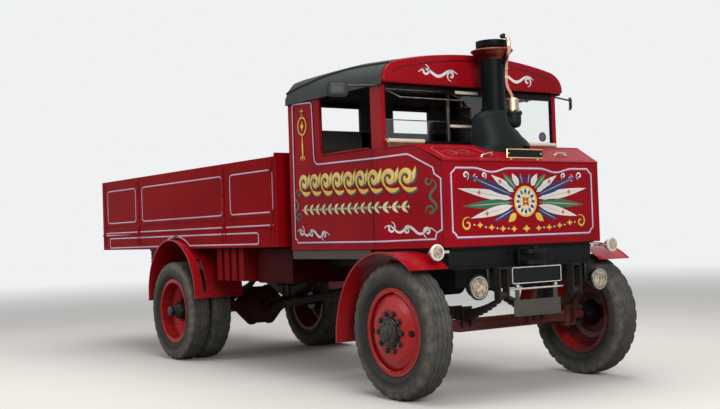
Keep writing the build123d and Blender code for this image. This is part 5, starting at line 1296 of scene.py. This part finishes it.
for low_y, high_y in ((-0.905, -0.560), (0.400, 0.890)):
    skin(vent_shape, [[Vector((screen_face_x + x, y, z)) for x, z in (
        (-0.006, 1.906), (0.062, 1.906), (0.034, 1.966), (-0.006, 1.972))] for y in (low_y, high_y)])
    bar(lip_shape, (screen_face_x - 0.007, low_y - 0.004, 1.956),
        (screen_face_x + 0.040, high_y + 0.004, 1.974), 0.003)
    tube(lip_shape, [(screen_face_x + 0.036, y, 1.957) for y in (low_y - 0.004, high_y + 0.004)], 0.016, 12)
piece("foot_ventilator_reflections", vent_shape, vent_brown_reflection)
piece("ventilator_lip_reflections", lip_shape, cream_reflection_paint)
give(two_tone("window_glass", None, ((0.86, 0.90, 0.90), (0.95, 0.97, 0.97)), 3.0, 4.0, (0.0, 0.03),
              transmission_weight=1.0, ior=1.45), "windscreen_glass")


# Mirrors: silvered glasses in domed backs of painted steel, on iron arms from the pillars.
# Each is turned a little towards the driver, and the left one more than the right.
mirror_back = painted("mirror_back", (0.022, 0.026, 0.026), "black_paint", dust_top=0.5, dust_amount=0.1,
                      gloss=0.35, shine=0.25)
mirror_glass = two_tone("mirror_glass", "mirror_glass", ((0.78, 0.80, 0.82), (0.68, 0.70, 0.72)), 12.0, 3.0,
                        (0.02, 0.08), metallic=1.0)
give(mirror_back, "mirrors")
mirror_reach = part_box("mirrors")[1].y
mirror_wide, mirror_tall = 0.08, 0.053
mirror_shape, rim_shape, back_shape = new_shapes(3)
mirror_edge = rectangle(-mirror_wide, mirror_wide, -mirror_tall, mirror_tall, 0.034)


def mirror_ring(middle, outward, sideways, out, wide=1.0, tall=1.0):
    """The mirror's edge, stood off along its face and drawn in by two shares."""
    return [middle + outward * out + sideways * point.x * wide + UP * point.y * tall for point in mirror_edge]


for side, turn in ((-1, radians(20.0)), (1, radians(45.0))):
    middle = Vector((rear_axle_x + 3.54, side * (mirror_reach - mirror_wide * cos(turn) - 0.008 * sin(turn)),
                     2.352))
    frame_of = (middle, Vector((cos(turn), side * sin(turn), 0)), Vector((-side * sin(turn), cos(turn), 0)))
    skin(mirror_shape, [mirror_ring(*frame_of, out, 1 - inset / mirror_wide, 1 - inset / mirror_tall)
                        for out, inset in ((-0.0078, 0.006), (-0.0092, 0.006), (-0.0096, 0.008))])
    for out, radius in ((-0.006, 0.0035), (0.006, 0.0028)):
        loop = mirror_ring(*frame_of, out)
        tube(rim_shape, loop + loop[:1], radius, 8)
    skin(back_shape, [mirror_ring(*frame_of, 0.006 + rise, draw, draw)
                      for rise, draw in ((0, 0.97), (0.007, 0.90), (0.012, 0.72), (0.014, 0.40))])
piece("mirror_faces", mirror_shape, mirror_glass)
piece("mirror_rims", rim_shape, black_paint)
piece("mirror_backs", back_shape, mirror_back)


# Roof: black waterproofed canvas drawn over thin boards that round down at the sides, with a piping along
# each side and a hem. The red peak is a shaped board in front of it, with a rounded edge and a dark line.
def wave(tree, spot, axis, **values):
    """Even ribs across an axis."""
    inputs = {"Vector": spot, **values}
    return add_node(tree, "ShaderNodeTexWave", inputs, bands_direction=axis, wave_profile="SIN").outputs[1]


def woven(tree, spot):
    """Threads that run both ways across the cloth."""
    return calc(tree, "ADD", *[wave(tree, spot, axis, Scale=150.0, Distortion=0.6) for axis in "XY"])


canvas = two_tone("black_canvas", "black_canvas", ((0.030, 0.035, 0.034), (0.060, 0.067, 0.064)), 2.6, 8.0,
                  (0.55, 0.85), 0.62, (0.35, 0.7), depth=0.0008, relief=woven, sheen_weight=0.05,
                  specular_ior_level=0.15)
piping = painted("roof_piping", (0.006, 0.007, 0.007), "black_canvas", dust_top=0.5, dust_amount=0.1,
                 gloss=0.5)
roof_low, roof_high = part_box("roof")
peak_low, peak_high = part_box("roof_peak")
crown_fall, corner_rise, skirt_z = 0.120, 0.030, roof_low.z

# Rows: distance forward from the rear end, height of the crown, width of the corner
roof_line = [(0.0, 2.585, 0.050), (0.02, 2.650, 0.060), (0.07, 2.683, 0.066), (0.20, 2.693, 0.075),
             (0.60, 2.700, 0.105), (1.00, 2.700, 0.140), (1.45, 2.668, 0.155)]
peak_corner = roof_line[-1][2]


def between(table, run):
    """A row between the rows of a table, at a place along its first column."""
    for low, high in zip(table, table[1:]):
        if run <= high[0] or high is table[-1]:
            share = min(max((run - low[0]) / (high[0] - low[0]), 0.0), 1.0)
            return [first + (second - first) * share for first, second in zip(low[1:], high[1:])]


def roof_section(x, half, crown, corner_in, corner_steps=8, crown_steps=28):
    """Section across the roof, from one skirt over the crown to the other: a flat arch with easy corners."""
    def crown_at(y):
        return crown - crown_fall * (y / half) ** 2

    start_y, start_z = half - corner_in, crown_at(half - corner_in)
    foot = Vector((half, skirt_z + corner_rise))
    bend = (foot, foot + Vector((0, 0.5 * (start_z - foot.y))),
            Vector((start_y + 0.5 * corner_in, start_z - 0.012)), Vector((start_y, start_z)))
    run = [Vector((half, skirt_z))]
    for t in [k / corner_steps for k in range(corner_steps)]:
        run.append(bend[0] * (1 - t) ** 3 + bend[1] * 3 * t * (1 - t) ** 2 + bend[2] * 3 * t * t * (1 - t) +
                   bend[3] * t ** 3)
    run += [Vector((start_y * (1 - k / crown_steps), crown_at(start_y * (1 - k / crown_steps))))
            for k in range(crown_steps + 1)]
    left_half = [Vector((x, *point)) for point in run]
    return left_half + [Vector((x, -point.x, point.y)) for point in reversed(run[:-1])]


def roof_ring(x, lift):
    """The roof's section at a station, standing off the boards' outer face by a lift."""
    crown, corner_in = between(roof_line, x - roof_low.x)
    return roof_section(x, roof_high.y + lift, crown + lift, corner_in)


def roof_shell(shape, lift, stations):
    """One skin of the roof at a lift, with its upright rear end closed."""
    rings = [roof_ring(x, lift) for x in stations]
    skin(shape, rings, close_ring=False, cap=False)
    shape.faces.new([shape.verts.new(point) for point in reversed(rings[0])])
    return rings


roof_runs = [0.0, 0.006, 0.02, 0.045, 0.07, 0.12, 0.2] + [0.2 + 0.05 * k for k in range(1, 25)]
roof_stations = [roof_low.x + 0.0015 + run for run in roof_runs if run < roof_high.x - roof_low.x - 0.01]
roof_stations.append(roof_high.x - 0.0015)
boards_shape, canvas_shape, bead_shape, hem_shape, peak_shape, arch_shape, chalk_shape = new_shapes(7)
outer = roof_shell(boards_shape, -0.002, roof_stations)
inner = roof_shell(boards_shape, -0.010, [roof_stations[0] + 0.008] + roof_stations[2:])
skin(boards_shape, [outer[-1], inner[-1]], close_ring=False, cap=False)
bmesh.ops.remove_doubles(boards_shape, verts=boards_shape.verts, dist=0.0001)
# The boards under the canvas take the cab's near-black boards, painted shade seen from inside
roof_boards = piece("roof_boards", boards_shape, cab_inside_shade)
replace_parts(roof_boards, "roof")

canvas_lift = 0.0015
hem_z = skirt_z - 0.012
rows = []
for x in roof_stations:
    ring = roof_ring(x, canvas_lift)
    for index, point in enumerate(ring):
        share = index / (len(ring) - 1)
        point.z += 0.0014 * sin(x * 17.0 + 9.0 * share) * sin(pi * share) ** 2
    rows.append([Vector((x, ring[0].y, hem_z))] + ring + [Vector((x, ring[-1].y, hem_z))])
back_rows = [[Vector((roof_stations[0] - 0.003, point.y * draw, hem_z + (point.z - hem_z) * draw))
              for point in rows[0]] for draw in (0.02, 0.35, 0.7, 0.985)]
skin(canvas_shape, back_rows + rows, close_ring=False, cap=False)
roof_cover = piece("roof_canvas", canvas_shape, canvas, sharp=50.0)
cloth_thickness = roof_cover.modifiers.new("thickness", "SOLIDIFY")
cloth_thickness.thickness = 0.0018
cloth_thickness.offset = 1.0

# Rows: distance forward from the rear end, height of the piping
bead_line = [(0.0, 2.484), (0.02, 2.494), (0.23, 2.527), (0.55, 2.572), (0.92, 2.590), (1.43, 2.562)]
for side, _ in sides:
    bead_run = []
    for x in roof_stations:
        z = between(bead_line, x - roof_low.x)[0]
        ring = roof_ring(x, canvas_lift + 0.004)
        for low, high in zip(ring, ring[1:len(ring) // 2]):
            if low.z <= z <= high.z:
                share = (z - low.z) / max(high.z - low.z, 1e-6)
                bead_run.append((x, side * (low.y + (high.y - low.y) * share), z))
                break
    tube(bead_shape, bead_run, 0.0095, 10)
    tube(hem_shape, [(x, side * (roof_high.y + 0.0045), hem_z + 0.004) for x in roof_stations], 0.0045, 8)
piece("roof_piping", bead_shape, piping)
piece("roof_hem", hem_shape, canvas)


def peak_ring(x, inset):
    """The peak's whole edge at a station, drawn in by an inset, with its two lower corners eased."""
    ring = roof_section(x, peak_high.y - inset, peak_high.z - inset, peak_corner)
    corner = [(0, 0.016), (0.005, 0.005), (0.016, 0)]
    foot = peak_low.z + inset
    return ring[1:-1] + [Vector((x, ring[-1].y + dy, foot + dz)) for dy, dz in corner] + [
        Vector((x, ring[0].y - dy, foot + dz)) for dy, dz in reversed(corner)]


peak_x = peak_high.x
peak_place = upright_place(peak_x)
skin(peak_shape, [peak_ring(peak_low.x, 0.004), peak_ring(peak_low.x + 0.004, 0.0),
                  peak_ring(peak_x - 0.009, 0.0), peak_ring(peak_x - 0.003, 0.003), peak_ring(peak_x, 0.009)])
peak_board = piece("peak_board", peak_shape, body_red, sharp=30.0)
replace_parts(peak_board, "roof_peak")
line_inset = 0.052
arch_run = roof_section(0.0, peak_high.y - line_inset, peak_high.z - line_inset, peak_corner)[4:-4]
paint_stroke(arch_shape, [(point.y, point.z) for point in arch_run], 0.010, peak_place, lift=0.0005)
for centre_y, way in ((-0.42, 1), (0.42, -1)):
    ripple = [(centre_y - 0.20 + 0.40 * k / 24, 2.50 + 0.026 * sin(3 * pi * k / 24)) for k in range(25)]
    brush(chalk_shape, ripple, peak_place, 0.005, 0.024)
    brush(chalk_shape, spiral((centre_y - 0.13, 2.515), 0.044, 1.2, 0.3, way), peak_place, 0.005, 0.018)
    brush(chalk_shape, spiral((centre_y + 0.13, 2.485), 0.044, 1.2, 3.4, way), peak_place, 0.005, 0.018)
piece("peak_dark_line", arch_shape, painted("line_maroon", (0.05, 0.002, 0.004), gloss=0.3))
piece("peak_flourish", chalk_shape, ornament_white)


# Lamps: metal shells with fluted glasses and pale rims, whose cream is painted reflection of polished metal.
# The headlamps hang from the front beam, and the side lamps stand at the lower corners of the housing.
lens = two_tone("lamp_glass", "nickel", ((0.60, 0.49, 0.32), (0.12, 0.07, 0.035)), 34.0, 3.0, (0.1, 0.35),
                spread=(0.38, 0.66), rough_spread=(0.38, 0.66), depth=0.002, coat_weight=1.0,
                coat_roughness=0.03, relief=lambda tree, spot: wave(tree, spot, "Y", Scale=26.0))
# Cream paint on the rims: painted reflection in place of bright metal
lamp_rim_reflection = painted("lamp_rim_reflection", (0.80, 0.77, 0.68), "nickel", dust_top=0.6, dust_amount=0.1, gloss=0.15,
                   shine=0.5)
give(lamp_shell, "headlamps")
give(bright_metal, "side_lamps")
rim_shape, lens_shape = new_shapes(2)
for node_name, y, z, radius in (("headlamps", 0.634, 0.826, 0.080), ("side_lamps", 0.921, 1.092, 0.054)):
    for side, _ in sides:
        face = Vector((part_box(node_name)[1].x, side * y, z))
        rim = [(0, 0.0005), (0.001, 0.006), (0.012, 0.007), (0.017, 0.004), (0.0182, -0.002),
               (0.0182, -0.006)]
        turned(rim_shape, [(run, radius + wider) for run, wider in rim], face - AHEAD * 0.018, AHEAD, 40,
               cap=False)
        turned(lens_shape, [(-0.001, radius - 0.004), (-0.0008, radius - 0.005), (-0.0002, radius * 0.6),
                            (-0.0001, radius * 0.2), (-0.00005, 0.004)], face + AHEAD * 0.0006, AHEAD, 40)
piece("lamp_rims", rim_shape, lamp_rim_reflection)
piece("lamp_lenses", lens_shape, lens)


# Plates under the front beam: a blank black number plate with a white edge line, a bright bar below it
# and a lipped grey step plate.
give(painted("step_grey", (0.045, 0.045, 0.042), dust_top=1.4, gloss=0.4), "front_plates")
plate_face_x = rear_axle_x + 4.336
number_shape, edge_shape, bar_shape = new_shapes(3)
bar(number_shape, (plate_face_x, -0.265, 0.822), (plate_face_x + 0.004, 0.265, 0.962))
paint_stroke(edge_shape, rectangle(-0.255, 0.255, 0.832, 0.952, 0.012), 0.006,
             upright_place(plate_face_x + 0.004), closed=True)
tube(bar_shape, [(plate_face_x - 0.01, y, 0.79) for y in (-0.30, 0.30)], 0.009, 12)
for y in (-0.2, 0.2):
    bar(bar_shape, (plate_face_x - 0.012, y - 0.014, 0.782), (plate_face_x + 0.001, y + 0.014, 0.83))
piece("number_plate_blank", number_shape, black_paint)
piece("number_plate_edge", edge_shape, ornament_white)
piece("front_bar", bar_shape, bright_metal)
